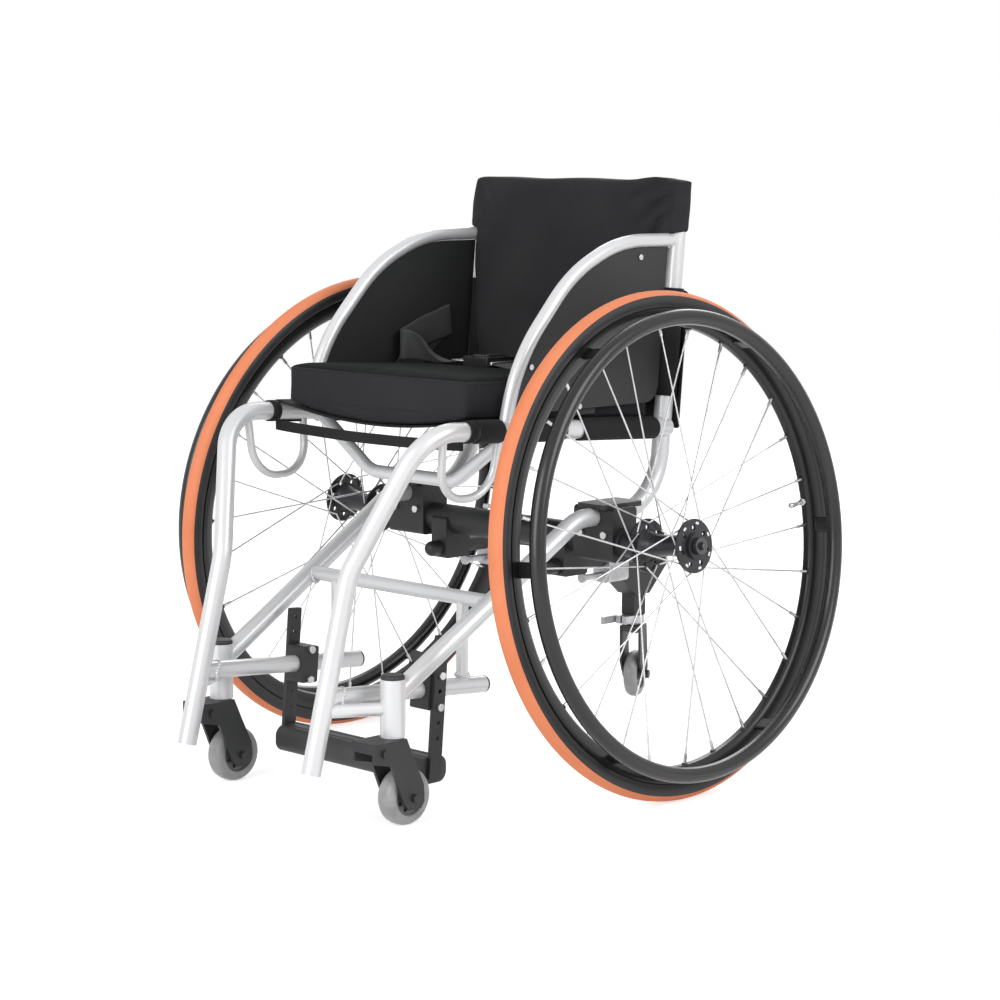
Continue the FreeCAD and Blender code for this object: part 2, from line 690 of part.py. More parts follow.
def build_wheel(name, side):
    """Tyre, rim, hub, spokes and handrim of one rear wheel."""
    centre = wheel_centre(side)
    axis = axle_axis(side)
    turn_in = Placement(centre, Rotation(Z_AXIS, axis))
    tyre = torus(name + "_tyre_ring", "Sizes.wheel_radius - Sizes.tyre_thickness / 2",
                 "Sizes.tyre_thickness / 2", centre, axis)
    keep(name + "_tyre", tyre)
    blank = revolved(name + "_rim", rim_sketch_points(), centre, axis)
    tyre_room = torus(name + "_tyre_room", "Sizes.wheel_radius - Sizes.tyre_thickness / 2",
                      "Sizes.tyre_thickness / 2", centre, axis)
    rim = keep(name + "_rim", without(name + "_rim_cut", blank, tyre_room))
    keep(name + "_hub", revolved(name + "_hub", hub_outline(), centre, axis))
    spokes = spoke_set(side)
    spokes.Placement = turn_in
    keep(name + "_spokes", feature(name + "_spoke_set", spokes))
    ring = Part.makeTorus(size("handrim_radius"), size("handrim_thickness") / 2,
                          Vector(0, 0, size("handrim_offset")))
    handrim = ring.multiFuse(handrim_tabs())
    handrim.Placement = turn_in
    handrim = main_piece(handrim.cut(shape_of(rim)))
    keep(name + "_handrim", feature(name + "_handrim_ring", handrim))


# Casters

def caster_axle(side):
    """The centre of one caster wheel."""
    return station(side * size("caster_half_width"), size("caster_ahead") - size("caster_trail"),
                   size("caster_radius"))


def caster_fork(name, side):
    """Stem, crown and two slanted arms, with the wheel's axle bolt as a solid of its own."""
    axle = caster_axle(side)
    stem = caster_point(side, 0)
    top = size("housing_bottom") - size("face_gap")
    half = size("caster_width") / 2 + 2
    wall = size("fork_wall")
    nose = stem.y - 44
    heel = stem.y + 5
    outline = [Vector(0, nose, top), Vector(0, nose, top - 22), Vector(0, stem.y - 18, top - 28),
               Vector(0, axle.y - 16, axle.z - 4), Vector(0, axle.y - 8, axle.z - 13),
               Vector(0, axle.y + 10, axle.z - 13), Vector(0, axle.y + 15, axle.z - 6),
               Vector(0, axle.y + 14, axle.z + 14), Vector(0, heel + 10, top - 22),
               Vector(0, heel, top)]
    arm = prism(polygon(outline), wall, X_AXIS)
    arms = []
    for start in (half, -half - wall):
        plate = arm.copy()
        plate.translate(Vector(stem.x + start, 0, 0))
        arms.append(plate)
    crown = block(Vector(stem.x - half - 1, nose, top - 12), Vector(stem.x + half + 1, heel, top))
    post_height = size("housing_top") - size("housing_bottom") - 13
    post = Part.makeCylinder(size("stem_thickness") / 2, post_height + size("face_gap"),
                             Vector(stem.x, stem.y, top))
    body = crown.multiFuse(arms + [post])
    bolt_radius = 4
    bolt = Part.makeCylinder(bolt_radius, 2 * (half + wall), Vector(axle.x - half - wall, axle.y, axle.z),
                             X_AXIS)
    head_out = axle.x + side * (half + wall)
    head = Part.makeCylinder(size("bolt_head_thickness") / 2, size("bolt_head_height"),
                             Vector(head_out, axle.y, axle.z), X_AXIS * side)
    nut_out = axle.x - side * (half + wall)
    nut = Part.makeCylinder(size("bolt_head_thickness") / 2, size("bolt_head_height"),
                            Vector(nut_out, axle.y, axle.z), X_AXIS * -side)
    pinch_head = []
    for step in (-1, 1):
        pinch_head.append(Part.makeCylinder(size("bolt_head_thickness") / 2, size("bolt_head_height") - 0.5,
                                            Vector(stem.x + step * (half + wall), stem.y - 29, top - 12),
                                            X_AXIS * step))
    fork = body.cut(bolt)
    pieces = [main_piece(fork), bolt.fuse(head).fuse(nut)] + pinch_head
    return keep(name + "_caster_fork", feature(name + "_fork", Part.makeCompound(pieces)))


def wheel_outline(radius, width, bore):
    """A small solid wheel's section with rounded tread shoulders and a stepped hub."""
    half = width / 2
    return [(bore, half), (radius * 0.36, half), (radius * 0.4, half - 3), (radius * 0.62, half - 3),
            (radius * 0.68, half - 0.5), (radius - 5, half - 0.5), (radius - 1.2, half - 4),
            (radius, half * 0.35), (radius, -half * 0.35), (radius - 1.2, -half + 4),
            (radius - 5, -half + 0.5), (radius * 0.68, -half + 0.5), (radius * 0.62, -half + 3),
            (radius * 0.4, -half + 3), (radius * 0.36, -half), (bore, -half)]


def caster_wheel(name, side):
    """One solid caster wheel."""
    outline = wheel_outline(size("caster_radius"), size("caster_width"), 4 + size("running_gap"))
    return keep(name + "_caster_wheel", revolved(name + "_caster", outline, caster_axle(side), X_AXIS))


# Footrest

def foot_frame(side):
    """The placement of things that stand square on one lower rail at the footrest."""
    rail = rail_line(side, size("foot_bar_ahead"))
    along = rail_line(side, size("rail_end_ahead")) - rail
    tilt = math.degrees(math.atan2(along.z, along.y))
    return Placement(rail, Rotation(X_AXIS, tilt))


def foot_bolt_levels():
    """How far the two clamp bolts sit above and below the rail."""
    return (size("foot_hole_pitch"), -size("foot_hole_pitch"))


def foot_bar(side):
    """One flat bar with its row of holes, square to the rail."""
    inner = size("foot_bar_half_width") - size("leg_half_width")
    outer = inner + size("foot_bar_wall")
    rail = rail_line(side, size("foot_bar_ahead"))
    top = size("foot_bar_top") - rail.z
    bottom = size("foot_bar_bottom") - rail.z
    half = size("foot_bar_depth") / 2
    pitch = size("foot_hole_pitch")
    near = inner if side > 0 else -outer
    bar = rounded_box(Vector(near, -half, bottom), Vector(near + size("foot_bar_wall"), half, top), 2, X_AXIS)
    lowest = size("footplate_bottom") + size("footplate_height") + 6 - rail.z
    count = int((top - 6) // pitch)
    for step in range(count, -20, -1):
        if step * pitch < lowest:
            break
        hole = Part.makeCylinder(size("foot_hole_radius"), 2 * outer, Vector(-outer, 0, step * pitch), X_AXIS)
        bar = bar.cut(hole)
    bar.Placement = foot_frame(side)
    return bar


def foot_clamp(side, rail_solid):
    """The block that holds one bar on its rail."""
    reach = size("rail_thickness") / 2 + 4
    inner = size("foot_bar_half_width") - size("leg_half_width")
    half = size("foot_clamp_height") / 2
    depth = size("foot_bar_depth") / 2 + 4
    low_x = -reach if side > 0 else -inner
    body = rounded_box(Vector(low_x, -depth, -half), Vector(low_x + reach + inner, depth, half), 3, X_AXIS)
    body.Placement = foot_frame(side)
    return main_piece(body.cut(rail_solid))


def footplate():
    """A rounded beam between both bars with shallow grooves along its top."""
    reach = size("foot_bar_half_width")
    half = size("footplate_depth") / 2
    bottom = size("footplate_bottom")
    top = bottom + size("footplate_height")
    middle = foot_frame(1).multVec(Vector(0, 0, (bottom + top) / 2 - rail_line(1, size("foot_bar_ahead")).z)).y
    beam = rounded_box(Vector(-reach, middle - half, bottom), Vector(reach, middle + half, top), 12, X_AXIS)
    for offset in (-7, 7):
        groove = Part.makeCylinder(2, 2 * reach + 2, Vector(-reach - 1, middle + offset, top + 0.8), X_AXIS)
        beam = beam.cut(groove)
    return beam


def build_footrest():
    """Perforated bars, their clamps on the rails, and the footplate beam."""
    bars = [foot_bar(side) for name, side in SIDES]
    clamps = [foot_clamp(side, shape_of(doc.getObject(name + "_rail"))) for name, side in SIDES]
    keep("footrest_bars", feature("bars", Part.makeCompound(bars)))
    keep("footrest_clamps", feature("foot_clamps", Part.makeCompound(clamps)))
    keep("footplate", feature("plate", footplate()))


def foot_bolts(side):
    """Bolt heads on one bar's outer face and nuts on the clamp's inner face."""
    outer = size("foot_bar_half_width") - size("leg_half_width") + size("foot_bar_wall")
    inner = size("rail_thickness") / 2 + 4
    radius = size("bolt_head_thickness") / 2
    heads = []
    for level in foot_bolt_levels():
        heads.append(Part.makeCylinder(radius, size("bolt_head_height"), Vector(side * outer, 0, level),
                                       X_AXIS * side))
        heads.append(Part.makeCylinder(radius, size("bolt_head_height"), Vector(-side * inner, 0, level),
                                       X_AXIS * -side))
    for head in heads:
        head.Placement = foot_frame(side).multiply(head.Placement)
    return heads


# Soft parts

def seat_slope():
    """The unit direction from the rear of the seat to its front."""
    return (seat_line(1, size("seat_bend_ahead")) - seat_line(1, -size("post_corner_behind"))).normalize()


def seat_sling():
    """The sagging seat fabric with its sleeves round both seat tubes."""
    half = size("seat_half_width")
    wall = size("sling_thickness")
    tube = size("main_tube_thickness") / 2 + 0.1
    front = size("sling_front_ahead")
    rear = -76
    start = seat_line(1, rear)
    start.x = 0
    along = seat_slope()
    length = (front - rear) / abs(along.y)
    up = X_AXIS.cross(along) * -1
    if up.z < 0:
        up = up * -1
    left = X_AXIS * half
    sag = up * -size("sling_sag")
    over = up * (tube + wall)
    under = up * tube
    top = Part.Arc(start - left + over, start + sag + over, start + left + over).toShape()
    low = Part.Arc(start - left + under, start + sag + under, start + left + under).toShape()
    ends = [Part.LineSegment(start + left + over, start + left + under).toShape(),
            Part.LineSegment(start - left + under, start - left + over).toShape()]
    sheet_face = Part.Face(Part.Wire(Part.__sortEdges__([top, low] + ends)))
    sling = sheet_face.extrude(along * length)
    for side_name, side in SIDES:
        rear_point = seat_line(side, rear)
        sleeve = Part.makeCylinder(tube + wall, length, rear_point, along)
        room = Part.makeCylinder(tube, length + 2, rear_point - along, along)
        sling = sling.fuse(sleeve).cut(room)
        gap_low = station(side * half - 30, 75, 380)
        gap = block(Vector(gap_low.x, gap_low.y, 380), Vector(gap_low.x + 60, gap_low.y + 23, 432 + 11))
        sling = sling.cut(gap)
    for side_name, side in SIDES:
        sling = sling.cut(shape_of(doc.getObject(side_name + "_back")))
        sling = sling.cut(shape_of(doc.getObject(side_name + "_arc")))
    for thing in ("loops", "seat_cross"):
        sling = sling.cut(shape_of(doc.getObject(thing)))
    return keep("seat_sling", feature("sling", main_piece(sling)))


def sling_drop(across):
    """How far the seat sling hangs under the seat tubes' tops at one distance from the middle."""
    half = size("seat_half_width")
    sag = size("sling_sag")
    ring = (half * half + sag * sag) / (2 * sag)
    return sag - (ring - math.sqrt(ring * ring - across * across))


def cushion_length():
    """From the cushion's front to just before the back panel, along the seat."""
    front = station(0, size("cushion_front_ahead"), 0).y
    panel = post_point(1, size("back_panel_bottom")).y - size("main_tube_thickness") / 2 - POST_SKIN
    rear = panel - size("back_pad_thickness") - size("cushion_back_gap")
    return (rear - front) / abs(seat_slope().y)


def seat_cushion():
    """A cushion with a crowned top, drawn-in sides and a belly that lies in the sling."""
    half = size("cushion_width") / 2
    front = seat_line(1, size("cushion_front_ahead"))
    along = seat_slope() * -1
    lift = size("main_tube_thickness") / 2 + size("sling_thickness") + 0.1 + size("cloth_gap")
    base = Vector(0, front.y, front.z + lift)
    height = size("cushion_height") - sling_drop(half)
    crown = size("cushion_crown")
    corner = 5
    sections = []
    for share, draw, rise in ((0.0, 5, -3), (0.03, 1.2, -0.6), (0.5, 0, 0), (0.97, 1.2, -0.6), (1.0, 5, -3)):
        centre = base + along * (cushion_length() * share)
        side = half - draw
        low = -sling_drop(side - corner)
        belly = -sling_drop(0) if rise > -1 else low - 0.5
        top = height + rise
        corners = [Vector(-side + corner, 0, low), Vector(side - corner, 0, low),
                   Vector(side - corner, 0, top), Vector(-side + corner, 0, top)]
        corners = [centre + point for point in corners]
        edges = [Part.Arc(corners[0], centre + Vector(0, 0, belly), corners[1]).toShape(),
                 Part.Arc(corners[1], centre + Vector(side, 0, (low + top) / 2), corners[2]).toShape(),
                 Part.Arc(corners[2], centre + Vector(0, 0, top + crown), corners[3]).toShape(),
                 Part.Arc(corners[3], centre + Vector(-side, 0, (low + top) / 2), corners[0]).toShape()]
        sections.append(Part.Wire(edges))
    return keep("seat_cushion", feature("cushion", Part.makeLoft(sections, True, True)))


def front_strap():
    """The narrow upright band that hangs in a curve under the seat's front, with a loop at each end."""
    tube = size("main_tube_thickness") / 2
    loop_width = 12
    wall = 2.5
    ahead = size("sling_front_ahead") + 1 + loop_width
    hang = seat_line(1, ahead - loop_width / 2)
    start = Vector(0, hang.y, hang.z - tube - 1)
    left = Vector(size("seat_half_width") - 3, 0, 0)
    high = Vector(0, 0, 4)
    low = Vector(0, 0, -3)
    sag = Vector(0, 0, -2)
    drop = Vector(0, 0, -size("strap_width"))
    edges = [Part.Arc(start - left + high, start + sag, start + left + high).toShape(),
             Part.LineSegment(start + left + high, start + left + low).toShape(),
             Part.Arc(start + left + low, start + sag + drop, start - left + low).toShape(),
             Part.LineSegment(start - left + low, start - left + high).toShape()]
    band = Part.Face(Part.Wire(edges)).extrude(Y_AXIS * wall)
    way = seat_slope() * -1
    for side_name, side in SIDES:
        point = seat_line(side, ahead)
        loop = Part.makeCylinder(tube + 1.6, loop_width, point, way)
        room = Part.makeCylinder(tube + 0.1, 2 * loop_width, point - way * (loop_width / 2), way)
        band = band.fuse(loop).cut(room)
    return keep("front_strap", feature("strap", main_piece(band)))


def cushion_top():
    """The height of the cushion's crown beside the lap belt."""
    ahead = size("belt_front_ahead")
    lift = size("main_tube_thickness") / 2 + size("sling_thickness") + 0.1 + size("cloth_gap")
    height = size("cushion_height") - sling_drop(size("cushion_width") / 2)
    return seat_line(1, ahead).z + lift + height + size("cushion_crown")


def lap_belt():
    """Two straps that rise beside the cushion and lie across it up to the buckle."""
    wall = size("belt_thickness")
    edge = size("cushion_width") / 2 + 1.2
    foot = seat_line(1, 36).z + size("main_tube_thickness") / 2 + size("sling_thickness") + 0.4
    deck = cushion_top() + 0.6
    start_y = station(0, size("belt_front_ahead"), 0).y
    straps = []
    for inner_end in (-62, 62):
        side = 1 if inner_end > 0 else -1
        low = [Vector(side * edge, start_y, foot), Vector(side * edge, start_y, deck - 10),
               Vector(side * (edge - 12), start_y, deck), Vector(side * abs(inner_end), start_y, deck)]
        high = [Vector(side * abs(inner_end), start_y, deck + wall),
                Vector(side * (edge - 11.4), start_y, deck + wall),
                Vector(side * (edge + wall), start_y, deck - 9.4), Vector(side * (edge + wall), start_y, foot)]
        straps.append(prism(polygon(low + high), size("belt_width"), Y_AXIS))
    return keep("lap_belt", feature("belt", Part.makeCompound(straps)))


def belt_buckle():
    """The buckle's shell with the well of its push button."""
    deck = cushion_top() + 0.6
    middle = station(0, size("belt_front_ahead") - size("belt_width") / 2, deck)
    shell = rounded_box(middle + Vector(-61.6, -24, 0), middle + Vector(61.6, 24, 15), 6, Z_AXIS)
    well = rounded_box(middle + Vector(-14, -16, 7), middle + Vector(14, 16, 30), 4, Z_AXIS)
    keep("belt_buckle", feature("buckle", shell.cut(well)))
    button = rounded_box(middle + Vector(-13.6, -15.6, 10.5), middle + Vector(13.6, 15.6, 16), 3.6, Z_AXIS)
    keep("buckle_button", feature("button", button))


def post_frame(height):
    """The placement of things that lean with the back posts, at one height."""
    point = post_point(1, height)
    return Placement(Vector(0, point.y, point.z), Rotation(X_AXIS, -size("post_lean")))


def along_post(height, base_height):
    """Length along the leaning back from one height to another."""
    return (height - base_height) / math.cos(math.radians(size("post_lean")))


def wrap_bottom():
    """The height where the back's top fold ends."""
    return size("back_top_height") - size("back_wrap_height")


def back_pad():
    """The padded front panel whose top folds over both back posts."""
    tube = size("main_tube_thickness") / 2
    skin = POST_SKIN
    base_height = size("back_panel_bottom")
    half_panel = size("back_panel_width") / 2
    half_wrap = size("post_top_half_width") + tube + skin
    front = -tube - skin - size("back_pad_thickness")
    rise = along_post(size("back_top_height"), base_height)
    fold = along_post(wrap_bottom(), base_height)
    panel = rounded_box(Vector(-half_panel, front, 0), Vector(half_panel, -tube - skin, rise - 8), 4, Z_AXIS)
    wrap = rounded_box(Vector(-half_wrap, front, fold), Vector(half_wrap, tube + skin, rise), 12, Z_AXIS)
    top_edges = [edge for edge in wrap.Edges if edge.BoundBox.ZMin > rise - 0.01]
    wrap = wrap.makeFillet(5, top_edges)
    pad = panel.fuse(wrap)
    pad.Placement = post_frame(base_height)
    for side_name, side in SIDES:
        low = post_point(side, size("stay_height") + 120)
        high = post_point(side, size("post_top_height"))
        room_top = high + (high - low).normalize() * 0.5
        pad = pad.cut(rod(low, room_top, size("main_tube_thickness") + 0.6))
        pad = pad.cut(shape_of(doc.getObject(side_name + "_arc")))
    return keep("back_pad", feature("pad", main_piece(pad)))


def back_sling():
    """The rear fabric: an upper sheet, a wider flap and sleeves round the back posts."""
    tube = size("main_tube_thickness") / 2
    wall = size("sling_thickness")
    near = tube + size("cloth_gap")
    base_height = size("flap_bottom")
    flap_top = wrap_bottom() - size("flap_drop")
    flap_rise = along_post(flap_top, base_height)
    upper_rise = along_post(wrap_bottom() - 2, base_height)
    half = size("flap_half_width")
    narrow = size("back_panel_width") / 2
    flap = block(Vector(-half, near, 0), Vector(half, near + wall, flap_rise))
    upper = block(Vector(-narrow, near, flap_rise - 1), Vector(narrow, near + wall, upper_rise))
    fabric = flap.fuse(upper)
    fabric.Placement = post_frame(base_height)
    for side_name, side in SIDES:
        sleeve = rod(post_point(side, size("sleeve_bottom")), post_point(side, flap_top),
                     2 * (near + wall))
        fabric = fabric.fuse(sleeve)
    for side_name, side in SIDES:
        room = rod(post_point(side, base_height - 40), post_point(side, size("post_top_height")),
                   2 * near - 0.4)
        fabric = fabric.cut(room)
    for neighbour in ("sling", "pad", "left_arc", "right_arc"):
        fabric = fabric.cut(shape_of(doc.getObject(neighbour)))
    return keep("back_sling", feature("back_fabric", main_piece(fabric)))


def guard_plane(side):
    """Start, level direction and outward direction of one side guard's middle plane."""
    corners = fender_arc_points(side)
    way = corners[-1] - corners[0]
    way.z = 0
    way.normalize()
    return corners[0], way, way.cross(Z_AXIS).normalize() * side


def guard_point(side, ahead, height, outward):
    """A point on or beside one guard, given by its station and height."""
    foot, way, normal = guard_plane(side)
    along = (size("axle_setback") - ahead - foot.y) / way.y
    return foot + way * along + Z_AXIS * (height - foot.z) + normal * outward


def side_guard(name, side):
    """The plate that fills the space inside one fender arc."""
    inset = size("arc_thickness") / 2 + size("guard_gap")
    foot, way, normal = guard_plane(side)
    flat = [Vector((point - foot).dot(way), point.z, 0) for point in fender_arc_points(side)]
    slant = math.tan(math.radians(size("post_lean")))
    post_gap = size("main_tube_thickness") / 2 + size("sling_thickness") + 2
    low_edge = flat[0].y + size("main_tube_thickness") / 2 + size("sling_thickness") + 3
    high_edge = flat[-1].y - inset
    rear_high = flat[-1].x - inset * slant - post_gap
    rear_low = rear_high - (high_edge - low_edge) * slant
    rear_over = rear_high + 60 * slant
    under_arc = []
    for before, here, after in zip(flat, flat[1:], flat[2:]):
        run_in = (here - before).normalize()
        run_out = (after - here).normalize()
        inward = Vector(run_in.y + run_out.y, -run_in.x - run_out.x, 0).normalize()
        under_arc.append(here + inward * (inset / math.cos(run_in.getAngle(run_out) / 2)))
    first_run = (flat[1] - flat[0]).normalize()
    start = flat[0] + Vector(first_run.y, -first_run.x, 0) * inset - first_run * 30
    beyond = rear_high + 60
    outline = [start] + under_arc + [Vector(beyond, high_edge, 0), Vector(beyond, start.y, 0)]
    trim = [Vector(-60, low_edge, 0), Vector(rear_low, low_edge, 0), Vector(rear_over, high_edge + 60, 0),
            Vector(-60, high_edge + 60, 0)]
    half = size("guard_thickness") / 2
    shapes = []
    for corners, bends in ((outline, [bend - inset for bend in ARC_BENDS] + [4]), (trim, [24, 1])):
        points = [foot + way * corner.x + Z_AXIS * (corner.y - foot.z) - normal * half for corner in corners]
        closing = Part.LineSegment(points[-1], points[0]).toShape()
        wire = Part.Wire(bent_wire(points, bends).Edges + [closing])
        shapes.append(Part.Face(wire).extrude(normal * size("guard_thickness")))
    plate = main_piece(shapes[0].common(shapes[1]))
    return keep(name + "_side_guard", feature(name + "_guard", plate))


def guard_edges(side, ahead):
    """The heights of one guard's lower and upper edge at a station."""
    plate = shape_of(doc.getObject(("left" if side > 0 else "right") + "_guard"))
    reach = size("wheel_spread")
    strip = block(station(-reach, ahead + 0.5, 0), station(reach, ahead - 0.5, size("back_top_height") + 100))
    edges = plate.common(strip).BoundBox
    return edges.ZMin, edges.ZMax


def guard_bolts(side):
    """Flat bolt heads on one guard's outer face, each at its share of the plate's height."""
    heads = []
    for ahead, share in ((137, 0.772), (54, 0.02), (-52, 0.939)):
        low, high = guard_edges(side, ahead)
        place = guard_point(side, ahead, low + share * (high - low), size("guard_thickness") / 2)
        heads.append(Part.makeCylinder(size("bolt_head_thickness") / 2 - 1, 2, place, guard_plane(side)[2]))
    return heads


# Anti-tip unit

def antitip_station(height):
    """A point on the anti-tip post's axis."""
    return station(0, -size("antitip_behind"), height)


def antitip_frame():
    """Side tubes that meet in a rear yoke, and the square socket under it."""
    tube = size("antitip_tube_thickness")
    across = size("antitip_half_width")
    level = size("antitip_tube_height")
    behind = size("antitip_behind")
    half = size("antitip_socket") / 2
    middle = antitip_station(0).y
    pieces = []
    for side_name, side in SIDES:
        nose = station(side * across, 42 - tube / 2, level)
        points = [nose, station(side * across, -118, level), station(side * 12, 18 - behind, level - 17)]
        pieces.append(bent_tube(points, [40], tube))
        pieces.append(Part.makeSphere(tube / 2, nose))
    outline = [Vector(-16, middle - 48, level - 6), Vector(-16, middle - 48, 210),
               Vector(-16, middle - half - 2, 180), Vector(-16, middle + half + 2, 180),
               Vector(-16, middle + 48, 216), Vector(-16, middle + 48, level - 6)]
    pieces.append(prism(polygon(outline), 32, X_AXIS))
    pieces.append(block(Vector(-half, middle - half, size("antitip_socket_bottom")),
                        Vector(half, middle + half, 190)))
    bore_depth = 76
    bore = Part.makeCylinder(size("antitip_post_thickness") / 2 + size("running_gap"), bore_depth,
                             antitip_station(size("antitip_socket_bottom")))
    body = pieces[0].multiFuse(pieces[1:]).cut(bore)
    return keep("antitip_frame", feature("antitip_body", main_piece(body)))


def antitip_mounts():
    """Clamps under the camber tube and saddles with their screws, on both side tubes."""
    tube = size("antitip_tube_thickness")
    level = size("antitip_tube_height")
    reach = size("camber_tube_reach")
    frame = shape_of(doc.getObject("antitip_body"))
    camber = rod(station(-reach, 0, size("camber_tube_height")), station(reach, 0, size("camber_tube_height")),
                 size("camber_tube_thickness"))
    clamps = []
    saddles = []
    for side_name, side in SIDES:
        middle = side * size("antitip_half_width")
        clamp = rounded_box(station(middle - 13, 21, level - tube / 2 - 3),
                            station(middle + 13, -21, size("camber_tube_height") + 4), 4, X_AXIS)
        clamps.append(main_piece(clamp.cut(camber).cut(frame)))
        saddle = rounded_box(station(middle - 13, -60, level - 29), station(middle + 13, -96, level + 1), 6, Y_AXIS)
        screw = rod(station(middle, -26, level - 20), station(middle, -62, level - 20), 8)
        head = rod(station(middle, -24, level - 20), station(middle, -28, level - 20), 12)
        saddles.append(main_piece(saddle.multiFuse([screw, head]).cut(frame)))
    keep("antitip_clamps", feature("antitip_clamp_pair", Part.makeCompound(clamps)))
    keep("antitip_saddles", feature("antitip_saddle_pair", Part.makeCompound(saddles)))


def collar_middle():
    """The height of the clamp collar's middle."""
    return size("antitip_socket_bottom") - size("antitip_collar_height") / 2


def antitip_collar():
    """A split collar on the socket's lower end, with ears for the lever."""
    height = size("antitip_collar_height")
    bottom = collar_middle() - height / 2
    ring = Part.makeCylinder(14, height, antitip_station(bottom))
    ears = block(antitip_station(bottom) + Vector(-9, -24, 0), antitip_station(bottom) + Vector(9, -10, height))
    room = Part.makeCylinder(size("antitip_post_thickness") / 2 + size("running_gap"), height, antitip_station(bottom))
    slot = block(antitip_station(bottom) + Vector(-1.5, -25, 0), antitip_station(bottom) + Vector(1.5, -5, height))
    collar = ring.fuse(ears).cut(room).cut(slot)
    return keep("antitip_collar", feature("collar", main_piece(collar)))


def lever_pivot():
    """The middle of the quick-release lever's pivot."""
    return antitip_station(collar_middle()) + Vector(-13.8, -18, 0)


def antitip_lever():
    """The quick-release cam lever beside the collar's ears."""
    pivot = lever_pivot()
    reach = size("antitip_collar_height") / 2 - 0.5
    cam = Part.makeCylinder(4.4, 2 * reach, pivot - Z_AXIS * reach)
    blade = rounded_box(pivot + Vector(-2.5, -27, -reach), pivot + Vector(2.5, 0, reach), 1.5, Y_AXIS)
    return keep("antitip_lever", feature("lever", cam.fuse(blade)))


def antitip_turn():
    """The placement that swings the anti-tip fork about its post."""
    base = antitip_station(0)
    swing = Rotation(Z_AXIS, size("antitip_swing"))
    return Placement(base - swing.multVec(base), swing)


def antitip_caster():
    """The sliding post, its swivel fork and the small wheel."""
    fork_top = collar_middle() - size("antitip_collar_height") / 2 - 3
    crown_height = 8
    pin_radius = 4
    face_gap = size("face_gap")
    post_foot = antitip_station(fork_top + face_gap)
    post = Part.makeCylinder(size("antitip_post_thickness") / 2, 42 + size("antitip_drop"), post_foot)
    pin_length = crown_height + 3 * face_gap
    pin = Part.makeCylinder(pin_radius, pin_length, post_foot, Z_AXIS * -1)
    pin_head = Part.makeCylinder(pin_radius + 2, 3, post_foot - Z_AXIS * (crown_height + 2 * face_gap), Z_AXIS * -1)
    keep("antitip_post", feature("post", post.multiFuse([pin, pin_head])))
    axle = antitip_station(size("antitip_wheel_height")) + Vector(0, size("antitip_trail"), 0)
    half = size("antitip_wheel_width") / 2 + 2
    wall = 3
    middle = antitip_station(0).y
    outline = [Vector(0, middle - 15, fork_top), Vector(0, middle - 13, axle.z + 18),
               Vector(0, axle.y - 9, axle.z - 4), Vector(0, axle.y, axle.z - 9),
               Vector(0, axle.y + 9, axle.z - 4), Vector(0, axle.y + 12, axle.z + 8),
               Vector(0, middle + 15, fork_top)]
    arms = []
    for start in (half, -half - wall):
        plate = prism(polygon([point + X_AXIS * start for point in outline]), wall, X_AXIS)
        arms.append(plate)
    crown = block(Vector(-half - 1, middle - 14, fork_top - crown_height), Vector(half + 1, middle + 14, fork_top))
    pin_room = Part.makeCylinder(pin_radius + size("running_gap"), 2 * crown_height,
                                 antitip_station(fork_top - 1.5 * crown_height))
    bolt = Part.makeCylinder(3.5, 2 * (half + wall), axle - X_AXIS * (half + wall), X_AXIS)
    bolt = bolt.fuse(Part.makeCylinder(5.5, 5, axle + X_AXIS * (half + wall), X_AXIS))
    fork = main_piece(crown.multiFuse(arms).cut(bolt).cut(pin_room))
    fork_set = Part.makeCompound([fork, bolt])
    fork_set.Placement = antitip_turn()
    keep("antitip_fork", feature("antitip_fork_set", fork_set))
    outline = wheel_outline(size("antitip_wheel_radius"), size("antitip_wheel_width"), 3.5 + size("running_gap"))
    wheel_axis = antitip_turn().Rotation.multVec(X_AXIS)
    keep("antitip_wheel", revolved("antitip_roller", outline, antitip_turn().multVec(axle), wheel_axis))


def frame_bolts():
    """Bolt heads on the clamp blocks, the footrest and the side guards."""
    heads = []
    radius = size("bolt_head_thickness") / 2
    for side_name, side in SIDES:
        for across, ahead, height, way in clamp_bolt_places(side):
            heads.append(Part.makeCylinder(radius, size("bolt_head_height"), station(across, ahead, height), way))
        heads = heads + foot_bolts(side) + guard_bolts(side)
    return keep("frame_bolts", feature("bolts", Part.makeCompound(heads)))


# Assembly

build_frame()
camber_tube()
for side_name, side in SIDES:
    axle_clamp(side_name, side)
    camber_plug(side_name, side)
    axle_pin(side_name, side)
    axle_button(side_name, side)
    build_wheel(side_name, side)
    caster_fork(side_name, side)
    caster_wheel(side_name, side)
build_footrest()
seat_sling()
seat_cushion()
front_strap()
lap_belt()
belt_buckle()
back_pad()
back_sling()
for side_name, side in SIDES:
    side_guard(side_name, side)
antitip_frame()
antitip_mounts()
antitip_collar()
antitip_lever()
antitip_caster()
frame_bolts()
doc.recompute()

for thing in doc.Objects:
    if "Invalid" in thing.State or "Error" in thing.State:
        raise RuntimeError("%s failed: %s" % (thing.Label, thing.State))
os.makedirs("parts", exist_ok=True)
for thing in PARTS:
    if thing.Shape.isNull() or not thing.Shape.isValid():
        raise RuntimeError("%s has no valid shape" % thing.Label)
for thing in PARTS:
    thing.Shape.exportStep(os.path.join("parts", thing.Label + ".step"))
print("%d sub-parts written" % len(PARTS))
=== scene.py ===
"""A rigid sports wheelchair, dressed for its picture.

The chair faces -Y, its left side is +X and the floor is Z = 0. Lengths are in metres.
"""
import json
import math

import bmesh
import bpy
from mathutils import Matrix, Vector

